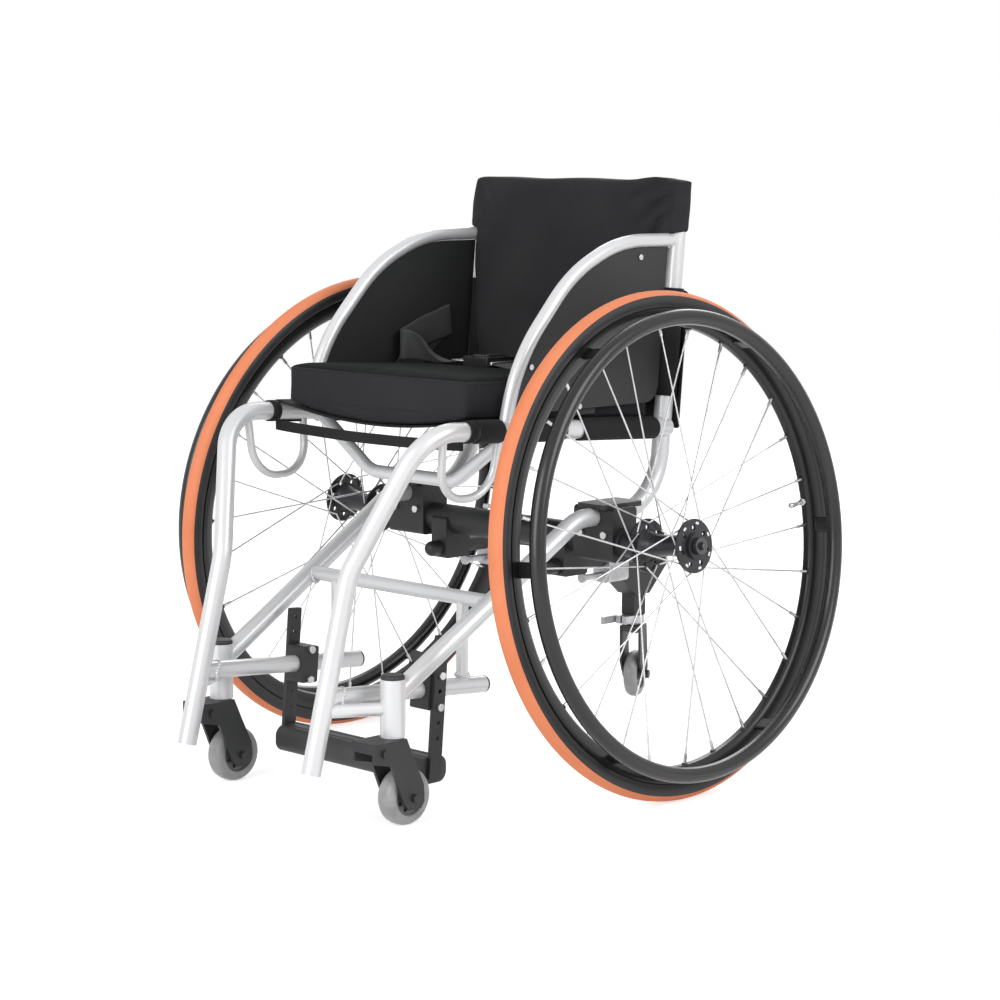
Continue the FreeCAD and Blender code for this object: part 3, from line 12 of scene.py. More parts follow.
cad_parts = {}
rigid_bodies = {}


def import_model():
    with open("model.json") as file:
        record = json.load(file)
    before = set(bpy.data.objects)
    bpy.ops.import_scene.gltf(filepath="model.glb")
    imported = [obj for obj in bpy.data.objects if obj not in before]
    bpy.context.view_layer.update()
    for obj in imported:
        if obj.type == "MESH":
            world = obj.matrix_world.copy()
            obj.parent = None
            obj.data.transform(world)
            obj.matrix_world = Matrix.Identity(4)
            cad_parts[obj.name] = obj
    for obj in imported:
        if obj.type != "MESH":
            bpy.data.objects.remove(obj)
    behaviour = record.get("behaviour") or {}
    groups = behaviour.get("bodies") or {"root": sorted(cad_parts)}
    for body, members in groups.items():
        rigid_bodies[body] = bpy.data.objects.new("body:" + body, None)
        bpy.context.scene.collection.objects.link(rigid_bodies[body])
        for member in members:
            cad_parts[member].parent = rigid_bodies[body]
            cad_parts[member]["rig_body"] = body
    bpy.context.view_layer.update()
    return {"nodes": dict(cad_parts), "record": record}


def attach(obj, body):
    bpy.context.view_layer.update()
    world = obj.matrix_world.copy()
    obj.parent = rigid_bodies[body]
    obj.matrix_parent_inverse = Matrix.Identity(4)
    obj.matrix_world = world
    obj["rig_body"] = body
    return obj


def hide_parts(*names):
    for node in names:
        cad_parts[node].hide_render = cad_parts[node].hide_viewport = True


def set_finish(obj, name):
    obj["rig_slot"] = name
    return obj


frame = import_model()
scene = bpy.context.scene

# Studio
# A white sweep of floor, a bright even room and three large soft lamps. The camera looks from the
# chair's front left at hub height, through a long lens.

def shown_white(tree, shader, strength):
    """Give a surface or the world plain white for the camera and for what mirrors it."""
    path = tree.nodes.new("ShaderNodeLightPath")
    mirrored = tree.nodes.new("ShaderNodeMath")
    mirrored.operation = "MAXIMUM"
    tree.links.new(path.outputs["Is Glossy Ray"], mirrored.inputs[0])
    tree.links.new(path.outputs["Is Transmission Ray"], mirrored.inputs[1])
    seen = tree.nodes.new("ShaderNodeMath")
    seen.operation = "MAXIMUM"
    tree.links.new(path.outputs["Is Camera Ray"], seen.inputs[0])
    tree.links.new(mirrored.outputs[0], seen.inputs[1])
    level = tree.nodes.new("ShaderNodeMapRange")
    level.inputs["To Min"].default_value = strength[0]
    level.inputs["To Max"].default_value = strength[1]
    tree.links.new(seen.outputs[0], level.inputs["Value"])
    tree.links.new(level.outputs["Result"], shader)


def studio_world():
    """An even room whose backdrop shows white."""
    world = bpy.data.worlds.new("studio_room")
    scene.world = world
    world.use_nodes = True
    back = world.node_tree.nodes["Background"]
    back.inputs["Color"].default_value = (1, 1, 1, 1)
    shown_white(world.node_tree, back.inputs["Strength"], (0.45, 1.0))


def studio_floor():
    """A wide pale disc that keeps the chair's soft shadow."""
    disc = bmesh.new()
    bmesh.ops.create_circle(disc, cap_ends=True, segments=96, radius=9.0)
    mesh = bpy.data.meshes.new("studio_floor")
    disc.to_mesh(mesh)
    disc.free()
    floor = bpy.data.objects.new("studio_floor", mesh)
    scene.collection.objects.link(floor)
    paper = bpy.data.materials.new("white_paper")
    paper.use_nodes = True
    shader = paper.node_tree.nodes["Principled BSDF"]
    shader.inputs["Base Color"].default_value = (0.86, 0.86, 0.86, 1)
    shader.inputs["Roughness"].default_value = 0.9
    shader.inputs["Emission Color"].default_value = (1, 1, 1, 1)
    shown_white(paper.node_tree, shader.inputs["Emission Strength"], (0.0, 0.55))
    mesh.materials.append(paper)


def soft_lamp(name, place, target, width, power):
    """One square soft box that faces a point."""
    light = bpy.data.lights.new(name, "AREA")
    light.shape = "SQUARE"
    light.size = width
    light.energy = power
    lamp = bpy.data.objects.new(name, light)
    lamp.location = place
    lamp.rotation_euler = (Vector(target) - Vector(place)).to_track_quat("-Z", "Y").to_euler()
    scene.collection.objects.link(lamp)


def photo_camera():
    """The camera of the photograph: place, aim and lens."""
    yaw = math.radians(-44.14)
    pitch = math.radians(-7.47)
    roll = math.radians(0.40)
    ahead = Vector((math.sin(yaw) * math.cos(pitch), math.cos(yaw) * math.cos(pitch), math.sin(pitch)))
    right = ahead.cross(Vector((0, 0, 1))).normalized()
    up = right.cross(ahead)
    turned_right = right * math.cos(roll) + up * math.sin(roll)
    turned_up = up * math.cos(roll) - right * math.sin(roll)
    aim = Matrix((turned_right, turned_up, -ahead)).transposed().to_4x4()
    lens = bpy.data.cameras.new("photo_camera")
    lens.sensor_width = 36.0
    lens.lens = 94.14
    lens.clip_end = 60
    camera = bpy.data.objects.new("photo_camera", lens)
    camera.matrix_world = Matrix.Translation((2.20326, -2.21769, 0.73796)) @ aim
    scene.collection.objects.link(camera)
    scene.camera = camera


studio_world()
studio_floor()
soft_lamp("front_box", (0.4, -3.6, 1.6), (0, 0, 0.4), 2.4, 84)
soft_lamp("near_box", (3.2, 0.6, 2.1), (0, 0, 0.4), 2.0, 62)
soft_lamp("rear_box", (-1.8, 2.8, 2.4), (0, 0, 0.5), 2.0, 44)
photo_camera()
scene.view_settings.view_transform = "Standard"

# Welded frame
# Seat tubes, legs, rails, back tubes and the arcs over the wheels are bent aluminium tube, welded
# and lacquered a bright silver white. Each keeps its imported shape, with its round faces smoothed.

def finish(name, deep, pale, rough, metal=0.0, drift=9.0, grain=700.0, relief=0.1, spread=0.05):
    """A finish that drifts between two close colours, with a fine grain in its gloss and relief."""
    material = bpy.data.materials.new(name)
    material.use_nodes = True
    nodes = material.node_tree.nodes
    links = material.node_tree.links
    shader = nodes["Principled BSDF"]
    shader.inputs["Metallic"].default_value = metal
    place = nodes.new("ShaderNodeTexCoord")
    cloud = nodes.new("ShaderNodeTexNoise")
    cloud.inputs["Scale"].default_value = drift
    cloud.inputs["Detail"].default_value = 4.0
    links.new(place.outputs["Object"], cloud.inputs["Vector"])
    tint = nodes.new("ShaderNodeValToRGB")
    tint.color_ramp.elements[0].position = 0.3
    tint.color_ramp.elements[0].color = (*deep, 1)
    tint.color_ramp.elements[1].position = 0.7
    tint.color_ramp.elements[1].color = (*pale, 1)
    links.new(cloud.outputs["Fac"], tint.inputs["Fac"])
    links.new(tint.outputs["Color"], shader.inputs["Base Color"])
    dust = nodes.new("ShaderNodeTexNoise")
    dust.inputs["Scale"].default_value = grain
    dust.inputs["Detail"].default_value = 2.0
    links.new(place.outputs["Object"], dust.inputs["Vector"])
    gloss = nodes.new("ShaderNodeMapRange")
    gloss.inputs["To Min"].default_value = rough - spread
    gloss.inputs["To Max"].default_value = rough + spread
    links.new(dust.outputs["Fac"], gloss.inputs["Value"])
    links.new(gloss.outputs["Result"], shader.inputs["Roughness"])
    bump = nodes.new("ShaderNodeBump")
    bump.inputs["Strength"].default_value = relief
    bump.inputs["Distance"].default_value = 0.0004
    links.new(dust.outputs["Fac"], bump.inputs["Height"])
    links.new(bump.outputs["Normal"], shader.inputs["Normal"])
    return material


def put(name, form, material, body, slot):
    """Turn a finished bmesh into a named piece that rides on a body."""
    mesh = bpy.data.meshes.new(name)
    form.to_mesh(mesh)
    form.free()
    mesh.materials.append(material)
    mesh.shade_smooth()
    piece = bpy.data.objects.new(name, mesh)
    scene.collection.objects.link(piece)
    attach(piece, body)
    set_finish(piece, slot)
    return piece


def body_of_node(node):
    """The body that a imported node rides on."""
    groups = frame["record"]["behaviour"]["bodies"]
    return next(body for body, members in groups.items() if node in members)


def slot_of_node(node):
    """The record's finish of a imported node."""
    return next(part["material_slot"] for part in frame["record"]["subparts"] if part["node"] == node)


def smoothed(node, material, edge=0.0, sharp=32):
    """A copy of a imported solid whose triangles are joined, with smooth round faces and soft edges."""
    form = bmesh.new()
    form.from_mesh(frame["nodes"][node].data)
    bmesh.ops.remove_doubles(form, verts=form.verts, dist=0.00002)
    bmesh.ops.dissolve_limit(form, angle_limit=math.radians(0.6), verts=form.verts, edges=form.edges)
    piece = put(node + "_dressed", form, material, body_of_node(node), slot_of_node(node))
    for extra in [layer.name for layer in piece.data.attributes if layer.name == "custom_normal"]:
        piece.data.attributes.remove(piece.data.attributes[extra])
    piece.data.set_sharp_from_angle(angle=math.radians(sharp))
    if edge:
        bevel = piece.modifiers.new("soft_edges", "BEVEL")
        bevel.width = edge
        bevel.segments = 2
        bevel.limit_method = "ANGLE"
        bevel.angle_limit = math.radians(sharp)
        bevel.harden_normals = True
    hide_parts(node)
    return piece


lacquer = finish("silver_white_lacquer", (0.65, 0.655, 0.665), (0.71, 0.715, 0.725), 0.34, 0.25, 6, 60, 0.0, 0.03)
lacquer.node_tree.nodes["Principled BSDF"].inputs["Coat Weight"].default_value = 0.25
lacquer.node_tree.nodes["Principled BSDF"].inputs["Coat Roughness"].default_value = 0.12
for side in ("left", "right"):
    smoothed(side + "_main_tube", lacquer)
    smoothed(side + "_back_tube", lacquer)
    smoothed(side + "_lower_rail", lacquer)
    smoothed(side + "_fender_arc", lacquer)
    smoothed(side + "_caster_housing", lacquer, 0.0006)
smoothed("seat_loops", lacquer)
smoothed("front_cross_tube", lacquer)
smoothed("seat_cross_tube", lacquer)

# Weld beads
# The joints are hand welded: a low rippled bead of the same metal runs round each tube where it
# meets the next one, under the lacquer.

def saddle_bead(name, joints):
    """Rippled beads along the lines where branch tubes meet the tubes that carry them."""
    beads = bmesh.new()
    for foot, way, branch, carrier_way, carrier in joints:
        way = Vector(way).normalized()
        carrier_way = Vector(carrier_way).normalized()
        first = way.orthogonal().normalized()
        second = way.cross(first)
        count = max(14, round(math.tau * branch / 0.0032))
        for step in range(count):
            turn = math.tau * step / count
            out = first * (branch * math.cos(turn)) + second * (branch * math.sin(turn))
            level = out - carrier_way * out.dot(carrier_way)
            slide = way - carrier_way * way.dot(carrier_way)
            bend = level.dot(slide) / slide.length_squared
            gap = level - slide * bend
            room = max(carrier * carrier - gap.length_squared, 0.0)
            reach = math.sqrt(room) / slide.length - bend
            spot = Vector(foot) + out + way * reach
            turned = Matrix.Translation(spot) @ out.to_track_quat("Z", "Y").to_matrix().to_4x4()
            bmesh.ops.create_icosphere(beads, subdivisions=1, radius=0.0026, matrix=turned)
    return put(name, beads, lacquer, "frame", "silver_tube")


for side, hand in (("left", 1), ("right", -1)):
    leg_way = (0, -0.24927, -0.96844)
    rail_foot = (hand * 0.107, -0.319, 0.1468)
    rail_way = (0, 0.99718, -0.07503)
    stay_way = (hand * 0.0416, 0.8568, 0.5140)
    joints = [
        (rail_foot, rail_way, 0.0102, leg_way, 0.0112),
        ((hand * 0.159, 0.1835, 0.6415), (hand * -0.004, -1, -0.002), 0.0082, (0, 0.0854, 0.9963), 0.0112),
        ((hand * 0.107, -0.1185, 0.1368), (0, 0, 1), 0.0072, rail_way, 0.0102),
        ((hand * 0.1521, -0.1185, 0.2330), (-hand, 0, 0), 0.0087, stay_way, 0.0112),
        ((hand * 0.166, -0.0955, 0.4320), (hand * -0.83, 0, -0.56), 0.0082, (0, -0.9987, 0.0517), 0.0112),
    ]
    saddle_bead(side + "_weld_beads", joints)

# Tube plugs
# Moulded black plugs close the rails' rear ends and cap the caster housings.

moulded_black = finish("moulded_black", (0.015, 0.015, 0.017), (0.025, 0.025, 0.027), 0.55, 0, 24, 1400, 0.35)
smoothed("tube_caps", moulded_black, 0.0005)

# Axle tube and clamps
# A powder-coated tube runs between two machined clamp blocks under the back tubes. Tilted plugs in
# its ends lean both wheels in at the top and take the quick-release axles.

powder_black = finish("powder_coat_black", (0.011, 0.011, 0.012), (0.019, 0.020, 0.022), 0.5, 0, 18, 2200, 0.3)
dark_steel = finish("dark_plated_steel", (0.10, 0.10, 0.105), (0.16, 0.16, 0.165), 0.3, 0.9, 40, 900, 0.1)
bright_steel = finish("bright_zinc_steel", (0.55, 0.55, 0.56), (0.68, 0.68, 0.69), 0.3, 0.95, 60, 1200, 0.1)
smoothed("camber_tube", powder_black, 0.0004)
for side in ("left", "right"):
    smoothed(side + "_axle_clamp", powder_black, 0.0008)
    smoothed(side + "_camber_plug", powder_black, 0.0006)
    smoothed(side + "_axle_pin", dark_steel, 0.0004)
    smoothed(side + "_axle_button", dark_steel, 0.0006)
smoothed("frame_bolts", bright_steel, 0.0006)

# Anti-tip unit
# Two side tubes reach back to a yoke with a square socket. A post slides in it under a
# quick-release collar and carries a small swivelling wheel. Tumbled saddles tie it to the clamps.

cast_silver = finish("tumbled_casting", (0.42, 0.42, 0.43), (0.58, 0.58, 0.59), 0.42, 0.8, 90, 800, 0.5)
smoothed("antitip_frame", powder_black, 0.0008)
smoothed("antitip_clamps", powder_black, 0.0008)
smoothed("antitip_saddles", cast_silver, 0.0008)
smoothed("antitip_collar", cast_silver, 0.0006)
smoothed("antitip_post", cast_silver, 0.0004)
smoothed("antitip_lever", cast_silver, 0.0005)
smoothed("antitip_fork", powder_black, 0.0006)

# Rear tyres
# Narrow 24 inch tyres with a coloured slick tread moulded between black sidewalls. A fine groove
# marks the line where the two rubbers meet.

CAMBER = math.radians(5.55)
WHEEL_Y = 0.0675
WHEEL_Z = 0.293676


def wheel_place(hand):
    """The placement of one rear wheel: its own Z axis is the axle, outwards."""
    outward = Vector((hand * math.cos(CAMBER), 0, math.sin(CAMBER)))
    behind = Vector((0, 1, 0))
    turn = Matrix((behind.cross(outward), behind, outward)).transposed()
    return Matrix.Translation((hand * 0.261, WHEEL_Y, WHEEL_Z)) @ turn.to_4x4()


def turned_ring(section, steps):
    """A closed ring spun from a section of radius and offset pairs about the Z axis."""
    ring = bmesh.new()
    points = [ring.verts.new((radius, 0, offset)) for radius, offset in section]
    edges = [ring.edges.new(pair) for pair in zip(points, points[1:] + points[:1])]
    bmesh.ops.spin(ring, geom=points + edges, axis=(0, 0, 1), cent=(0, 0, 0), steps=steps,
                   angle=math.tau, use_merge=True)
    bmesh.ops.remove_doubles(ring, verts=ring.verts, dist=0.000005)
    bmesh.ops.recalc_face_normals(ring, faces=ring.faces)
    return ring


def tyre_section():
    """The tyre's round section with a shallow groove at both edges of the tread."""
    ring_radius = 0.2825
    half = 0.0125
    edge = math.radians(58)
    points = []
    for step in range(48):
        turn = math.tau * step / 48
        near = min(abs(turn - edge), abs(turn - (math.tau - edge)))
        reach = half - (0.0004 if near < math.radians(2.5) else 0)
        points.append((ring_radius + reach * math.cos(turn), reach * math.sin(turn)))
    return points


def rubber(name, deep, pale, rough):
    """Moulded rubber: a fine dusty grain."""
    material = finish(name, deep, pale, rough, 0, 16, 1500, 0.25)
    material.node_tree.nodes["Principled BSDF"].inputs["Specular IOR Level"].default_value = 0.35
    return material


tread_rubber = rubber("orange_tread_rubber", (0.74, 0.225, 0.10), (0.80, 0.262, 0.125), 0.62)
side_rubber = rubber("black_sidewall_rubber", (0.018, 0.018, 0.019), (0.028, 0.028, 0.03), 0.5)
for side, hand in (("left", 1), ("right", -1)):
    tyre = turned_ring(tyre_section(), 192)
    for face in tyre.faces:
        middle = face.calc_center_median()
        out = math.hypot(middle.x, middle.y) - 0.2825
        face.material_index = 1 if math.atan2(abs(middle.z), out) < math.radians(59) else 0
    tyre.transform(wheel_place(hand))
    bmesh.ops.recalc_face_normals(tyre, faces=tyre.faces)
    piece = put(side + "_tyre_dressed", tyre, side_rubber, side + "_wheel", "tyre_rubber")
    piece.data.materials.append(tread_rubber)
    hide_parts(side + "_tyre")

# Rims
# Deep double-wall rims, anodised black, with a machined seat under the tyre, 28 nipple seats on
# the inner crown and a short valve.

anodised = finish("black_anodised_rim", (0.012, 0.012, 0.013), (0.022, 0.022, 0.023), 0.3, 0.35, 12, 1800, 0.08)
valve_brass = finish("plated_valve", (0.45, 0.45, 0.46), (0.6, 0.6, 0.61), 0.3, 0.9, 50, 900, 0.1)
rim_section = [(0.2740, 0.0108), (0.2690, 0.0108), (0.2670, 0.0102), (0.2625, 0.0090), (0.2580, 0.0070),
               (0.2556, 0.0048), (0.2550, 0.0020), (0.2550, -0.0020), (0.2556, -0.0048), (0.2580, -0.0070),
               (0.2625, -0.0090), (0.2670, -0.0102), (0.2690, -0.0108), (0.2740, -0.0108)]


def radial(turn, radius, offset):
    """A frame on the wheel whose Z axis points inwards to the hub."""
    spot = Matrix.Rotation(turn, 4, "Z") @ Matrix.Translation((radius, 0, offset))
    return spot @ Matrix.Rotation(-math.pi / 2, 4, "Y")


for side, hand in (("left", 1), ("right", -1)):
    rim = turned_ring(rim_section, 168)
    for index in range(28):
        out = 1 if index % 2 == 0 else -1
        place = radial(math.tau * index / 28, 0.2546, out * 0.0018)
        bmesh.ops.create_cone(rim, cap_ends=True, segments=12, radius1=0.0042, radius2=0.0031, depth=0.0022,
                              matrix=place)
    rim.transform(wheel_place(hand))
    piece = put(side + "_rim_dressed", rim, anodised, side + "_wheel", "rim_black")
    piece.data.set_sharp_from_angle(angle=math.radians(38))
    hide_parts(side + "_rim")
    valve = bmesh.new()
    for length, radius, sink in ((0.028, 0.0027, 0.241), (0.004, 0.0045, 0.2525), (0.007, 0.0034, 0.2315)):
        bmesh.ops.create_cone(valve, cap_ends=True, segments=16, radius1=radius, radius2=radius, depth=length,
                              matrix=radial(math.radians(96.5), sink, 0))
    bmesh.ops.bevel(valve, geom=[edge for edge in valve.edges if edge.calc_face_angle(0) > 1], offset=0.0004,
                    segments=1, profile=0.5, affect="EDGES", material=-1)
    valve.transform(wheel_place(hand))
    put(side + "_valve", valve, valve_brass, side + "_wheel", "rim_black")

# Hubs
# High-flange hubs, turned and anodised black. Both flanges have round lightening holes and carry the
# spoke heads, and a ridged cap closes each end round the axle.

def drilled(form, holes):
    """Cut round holes, each given by its placement, radius and depth, out of a closed mesh."""
    blank_mesh = bpy.data.meshes.new("blank")
    form.to_mesh(blank_mesh)
    form.free()
    blank = bpy.data.objects.new("blank", blank_mesh)
    bits = bmesh.new()
    for place, radius, depth in holes:
        bmesh.ops.create_cone(bits, cap_ends=True, segments=20, radius1=radius, radius2=radius, depth=depth,
                              matrix=place)
    bit_mesh = bpy.data.meshes.new("bits")
    bits.to_mesh(bit_mesh)
    bits.free()
    drill = bpy.data.objects.new("bits", bit_mesh)
    scene.collection.objects.link(blank)
    scene.collection.objects.link(drill)
    cut = blank.modifiers.new("holes", "BOOLEAN")
    cut.operation = "DIFFERENCE"
    cut.solver = "EXACT"
    cut.object = drill
    finished = bmesh.new()
    finished.from_object(blank, bpy.context.evaluated_depsgraph_get())
    for spare in (blank, drill):
        bpy.data.objects.remove(spare)
    return finished


hub_finish = finish("black_anodised_hub", (0.02, 0.02, 0.022), (0.036, 0.036, 0.04), 0.3, 0.3, 30, 2200, 0.08)
hub_section = [(0.0064, -0.0410), (0.0165, -0.0410), (0.0170, -0.0405), (0.0170, -0.0370), (0.0308, -0.0370),
               (0.0315, -0.0363), (0.0315, -0.0342), (0.0308, -0.0335), (0.0200, -0.0335), (0.0162, -0.0290),
               (0.0132, -0.0200), (0.0121, 0.0000), (0.0132, 0.0200), (0.0162, 0.0290), (0.0200, 0.0335),
               (0.0308, 0.0335), (0.0315, 0.0342), (0.0315, 0.0363), (0.0308, 0.0370), (0.0150, 0.0370),
               (0.0150, 0.0405), (0.0145, 0.0410), (0.0064, 0.0410)]
for side, hand in (("left", 1), ("right", -1)):
    hub = turned_ring(hub_section, 72)
    holes = []
    for flange in (0.03525, -0.03525):
        for index in range(7):
            turn = math.tau * (index + 0.5) / 7
            spot = Matrix.Translation((0.0215 * math.cos(turn), 0.0215 * math.sin(turn), flange))
            holes.append((spot, 0.0031, 0.0046))
    hub = drilled(hub, holes)
    hub.transform(wheel_place(hand))
    piece = put(side + "_hub_dressed", hub, hub_finish, side + "_wheel", "hub_black")
    piece.data.set_sharp_from_angle(angle=math.radians(34))
    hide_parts(side + "_hub")
    heads = bmesh.new()
    for index in range(28):
        out = 1 if index % 2 == 0 else -1
        swing = math.radians(62) * (1 if (index // 2) % 2 == 0 else -1)
        turn = math.tau * index / 28 + swing
        spot = Matrix.Translation((0.0265 * math.cos(turn), 0.0265 * math.sin(turn), out * 0.0374))
        bmesh.ops.create_uvsphere(heads, u_segments=10, v_segments=6, radius=0.0019,
                                  matrix=spot @ Matrix.Diagonal((1, 1, 0.45, 1)))
    heads.transform(wheel_place(hand))
    put(side + "_spoke_heads", heads, bright_steel, side + "_wheel", "spoke_steel")

# Spokes and handrims
# Drawn steel spokes cross between the hub flanges and the rim, ending in plated nipples. The
# handrim is a painted tube on six tabs that are screwed to the rim.

spoke_steel = finish("drawn_spoke_steel", (0.5, 0.5, 0.51), (0.66, 0.66, 0.67), 0.28, 0.9, 60, 1500, 0.05)
rim_paint = finish("handrim_black_paint", (0.010, 0.010, 0.011), (0.017, 0.017, 0.018), 0.26, 0.1, 10, 1500, 0.06)
for side in ("left", "right"):
    smoothed(side + "_spokes", spoke_steel)
    smoothed(side + "_handrim", rim_paint, 0.0, 40)

# Casters
# Bent steel forks, powder coated, hold solid grey wheels: a cast polyurethane tread on a moulded
# core with a ring of small pockets.

caster_tread = finish("grey_polyurethane", (0.24, 0.24, 0.245), (0.34, 0.34, 0.345), 0.4, 0, 60, 700, 0.25)
caster_core = finish("grey_moulded_core", (0.11, 0.11, 0.115), (0.16, 0.16, 0.165), 0.45, 0, 80, 1100, 0.3)


def small_wheel(name, radius, width, bore, place, body, slot, node):
    """A solid wheel in two pieces: a domed tread and a webbed core with pockets."""
    half = width / 2
    seat = radius * 0.66
    tread = turned_ring([(seat, half - 0.0006), (radius - 0.006, half - 0.0003), (radius - 0.0028, half - 0.0016),
                         (radius - 0.0008, half - 0.0048), (radius, half * 0.3), (radius, -half * 0.3),
                         (radius - 0.0008, 0.0048 - half), (radius - 0.0028, 0.0016 - half),
                         (radius - 0.006, 0.0003 - half), (seat, 0.0006 - half)], 72)
    tread.transform(place)
    piece = put(name + "_tread", tread, caster_tread, body, slot)
    piece.data.set_sharp_from_angle(angle=math.radians(50))
    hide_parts(node)
    core = turned_ring([(bore, half), (radius * 0.26, half), (radius * 0.29, half - 0.003),
                        (radius * 0.6, half - 0.003), (radius * 0.62, half - 0.001), (seat, half - 0.001),
                        (seat, 0.001 - half), (radius * 0.62, 0.001 - half), (radius * 0.6, 0.003 - half),
                        (radius * 0.29, 0.003 - half), (radius * 0.26, -half), (bore, -half)], 72)
    pockets = []
    for index in range(8):
        turn = math.tau * (index + 0.5) / 8
        spot = Matrix.Translation((radius * 0.45 * math.cos(turn), radius * 0.45 * math.sin(turn), 0))
        pockets.append((spot, radius * 0.085, width + 0.004))
    core = drilled(core, pockets)
    core.transform(place)
    piece = put(name + "_core", core, caster_core, body, slot)
    piece.data.set_sharp_from_angle(angle=math.radians(34))
    return piece


along_x = Matrix.Rotation(math.pi / 2, 4, "Y")
for side, hand in (("left", 1), ("right", -1)):
    smoothed(side + "_caster_fork", powder_black, 0.0008)
    centre = Matrix.Translation((hand * 0.147, -0.2495, 0.0325))
    small_wheel(side + "_caster", 0.0325, 0.024, 0.0041, centre @ along_x, side + "_caster", "caster_grey",
                side + "_caster_wheel")
swung = Matrix.Translation((-0.004649, 0.312469, 0.072)) @ Matrix.Rotation(math.radians(25), 4, "Z")
small_wheel("antitip", 0.030, 0.018, 0.0036, swung @ along_x, "tip_wheel", "caster_grey", "antitip_wheel")

# Footrest
# Two flat bars with a row of holes are clamped to the lower rails. A moulded beam with two shallow
# grooves joins them and carries the feet.

moulded_grip = finish("moulded_footplate", (0.026, 0.026, 0.028), (0.042, 0.042, 0.045), 0.55, 0, 20, 900, 0.5)
smoothed("footrest_bars", powder_black, 0.0006)
smoothed("footrest_clamps", powder_black, 0.0008)
smoothed("footplate", moulded_grip, 0.0008)

# Side guards
# A thin black composite plate fills the space inside each arc and is bolted at its edge. Its face
# has a fine satin texture.

guard_sheet = finish("satin_composite", (0.009, 0.010, 0.010), (0.015, 0.015, 0.016), 0.55, 0, 6, 1300, 0.2)
for side in ("left", "right"):
    smoothed(side + "_side_guard", guard_sheet, 0.0005)

# Seat sling
# A doubled nylon sheet is stretched between the seat tubes. Its edges fold round the tubes as
# sleeves, open underneath.

def woven(name, deep, pale, pitch, rough, sheen):
    """A plain weave of crossing yarns, read in the piece's own space, with a soft sheen."""
    material = finish(name, deep, pale, rough, 0, 11, 420, 0.2)
    nodes = material.node_tree.nodes
    links = material.node_tree.links
    shader = nodes["Principled BSDF"]
    shader.inputs["Sheen Weight"].default_value = sheen
    shader.inputs["Sheen Roughness"].default_value = 0.45
    shader.inputs["Specular IOR Level"].default_value = 0.2
    place = next(node for node in nodes if node.type == "TEX_COORD")
    bump = next(node for node in nodes if node.type == "BUMP")
    waves = []
    for direction in ("X", "DIAGONAL"):
        yarn = nodes.new("ShaderNodeTexWave")
        yarn.bands_direction = direction
        yarn.inputs["Scale"].default_value = 0.314 / pitch
        yarn.inputs["Distortion"].default_value = 0.6
        yarn.inputs["Detail Scale"].default_value = 2.0
        links.new(place.outputs["Object"], yarn.inputs["Vector"])
        waves.append(yarn)
    cross = nodes.new("ShaderNodeMath")
    cross.operation = "MULTIPLY"
    links.new(waves[0].outputs["Fac"], cross.inputs[0])
    links.new(waves[1].outputs["Fac"], cross.inputs[1])
    links.new(cross.outputs[0], bump.inputs["Height"])
    bump.inputs["Strength"].default_value = 0.35
    bump.inputs["Distance"].default_value = 0.0003
    return material


def seat_tube(hand, ahead):
    """A point on one seat tube's centre line, by its distance ahead of the axle."""
    share = (ahead + 0.0915) / 0.3965
    return Vector((hand * 0.166, WHEEL_Y - ahead, 0.418 + share * 0.0205))


def laid(name, across, along, rule):
    """A sheet laid out as a grid whose points follow a rule of two shares from 0 to 1."""
    sheet = bmesh.new()
    bmesh.ops.create_grid(sheet, x_segments=across, y_segments=along, size=0.5)
    for point in sheet.verts:
        point.co = rule(point.co.x + 0.5, point.co.y + 0.5)
    return sheet


def thickened(piece, wall, rounds=1):
    """Give a laid sheet its real thickness and a soft surface."""
    solid = piece.modifiers.new("wall", "SOLIDIFY")
    solid.thickness = wall
    solid.offset = 0
    smooth = piece.modifiers.new("soft", "SUBSURF")
    smooth.levels = rounds
    smooth.render_levels = rounds
    return piece


sling_nylon = woven("black_sling_nylon", (0.008, 0.008, 0.009), (0.015, 0.015, 0.016), 0.0011, 0.7, 0.02)
SLEEVE = 0.01275
SLING_WRAP = math.radians(200)
SLING_SAG = 0.017
sling_ring = (0.166 ** 2 + SLING_SAG ** 2) / (2 * SLING_SAG)
sling_half_turn = math.asin(0.166 / sling_ring)
sling_span = 2 * sling_ring * sling_half_turn
sling_path = sling_span + 2 * SLEEVE * SLING_WRAP


def sling_point(share, along):
    """A point of the sling: round one tube, over the sag and round the other."""
    run = share * sling_path
    wrap = SLEEVE * SLING_WRAP
    ahead = -0.0755 + along * 0.3055
    middle = seat_tube(0, ahead)
    hand = -1 if run < sling_path / 2 else 1
    reach = run if hand < 0 else sling_path - run
    if reach < wrap:
        turn = math.pi / 2 + (wrap - reach) / SLEEVE
        across = SLEEVE * math.cos(turn)
        return middle + Vector((hand * (0.166 - across), 0, SLEEVE * math.sin(turn)))
    turn = (run - wrap) / sling_ring - sling_half_turn
    sag = sling_ring * (1 - math.cos(turn)) - SLING_SAG
    ripple = 0.0007 * math.sin(along * 21 + 3 * share) * math.sin(math.pi * share)
    return middle + Vector((sling_ring * math.sin(turn), 0, SLEEVE + sag + ripple))


def open_at_feet(sheet, feet, room):
    """Take out the cloth round the welded feet of other tubes, on the sleeves alone."""
    spare = []
    for face in sheet.faces:
        middle = face.calc_center_median()
        near = any(abs(middle.y - foot) < room for foot in feet)
        if near and abs(middle.x) > 0.1535:
            spare.append(face)
    bmesh.ops.delete(sheet, geom=spare, context="FACES")


sling = laid("seat_sling", 92, 66, sling_point)
open_at_feet(sling, [-0.110, -0.006], 0.0125)
piece = put("seat_sling_cloth", sling, sling_nylon, "frame", "sling_fabric")
thickened(piece, 0.0024)
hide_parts("seat_sling")

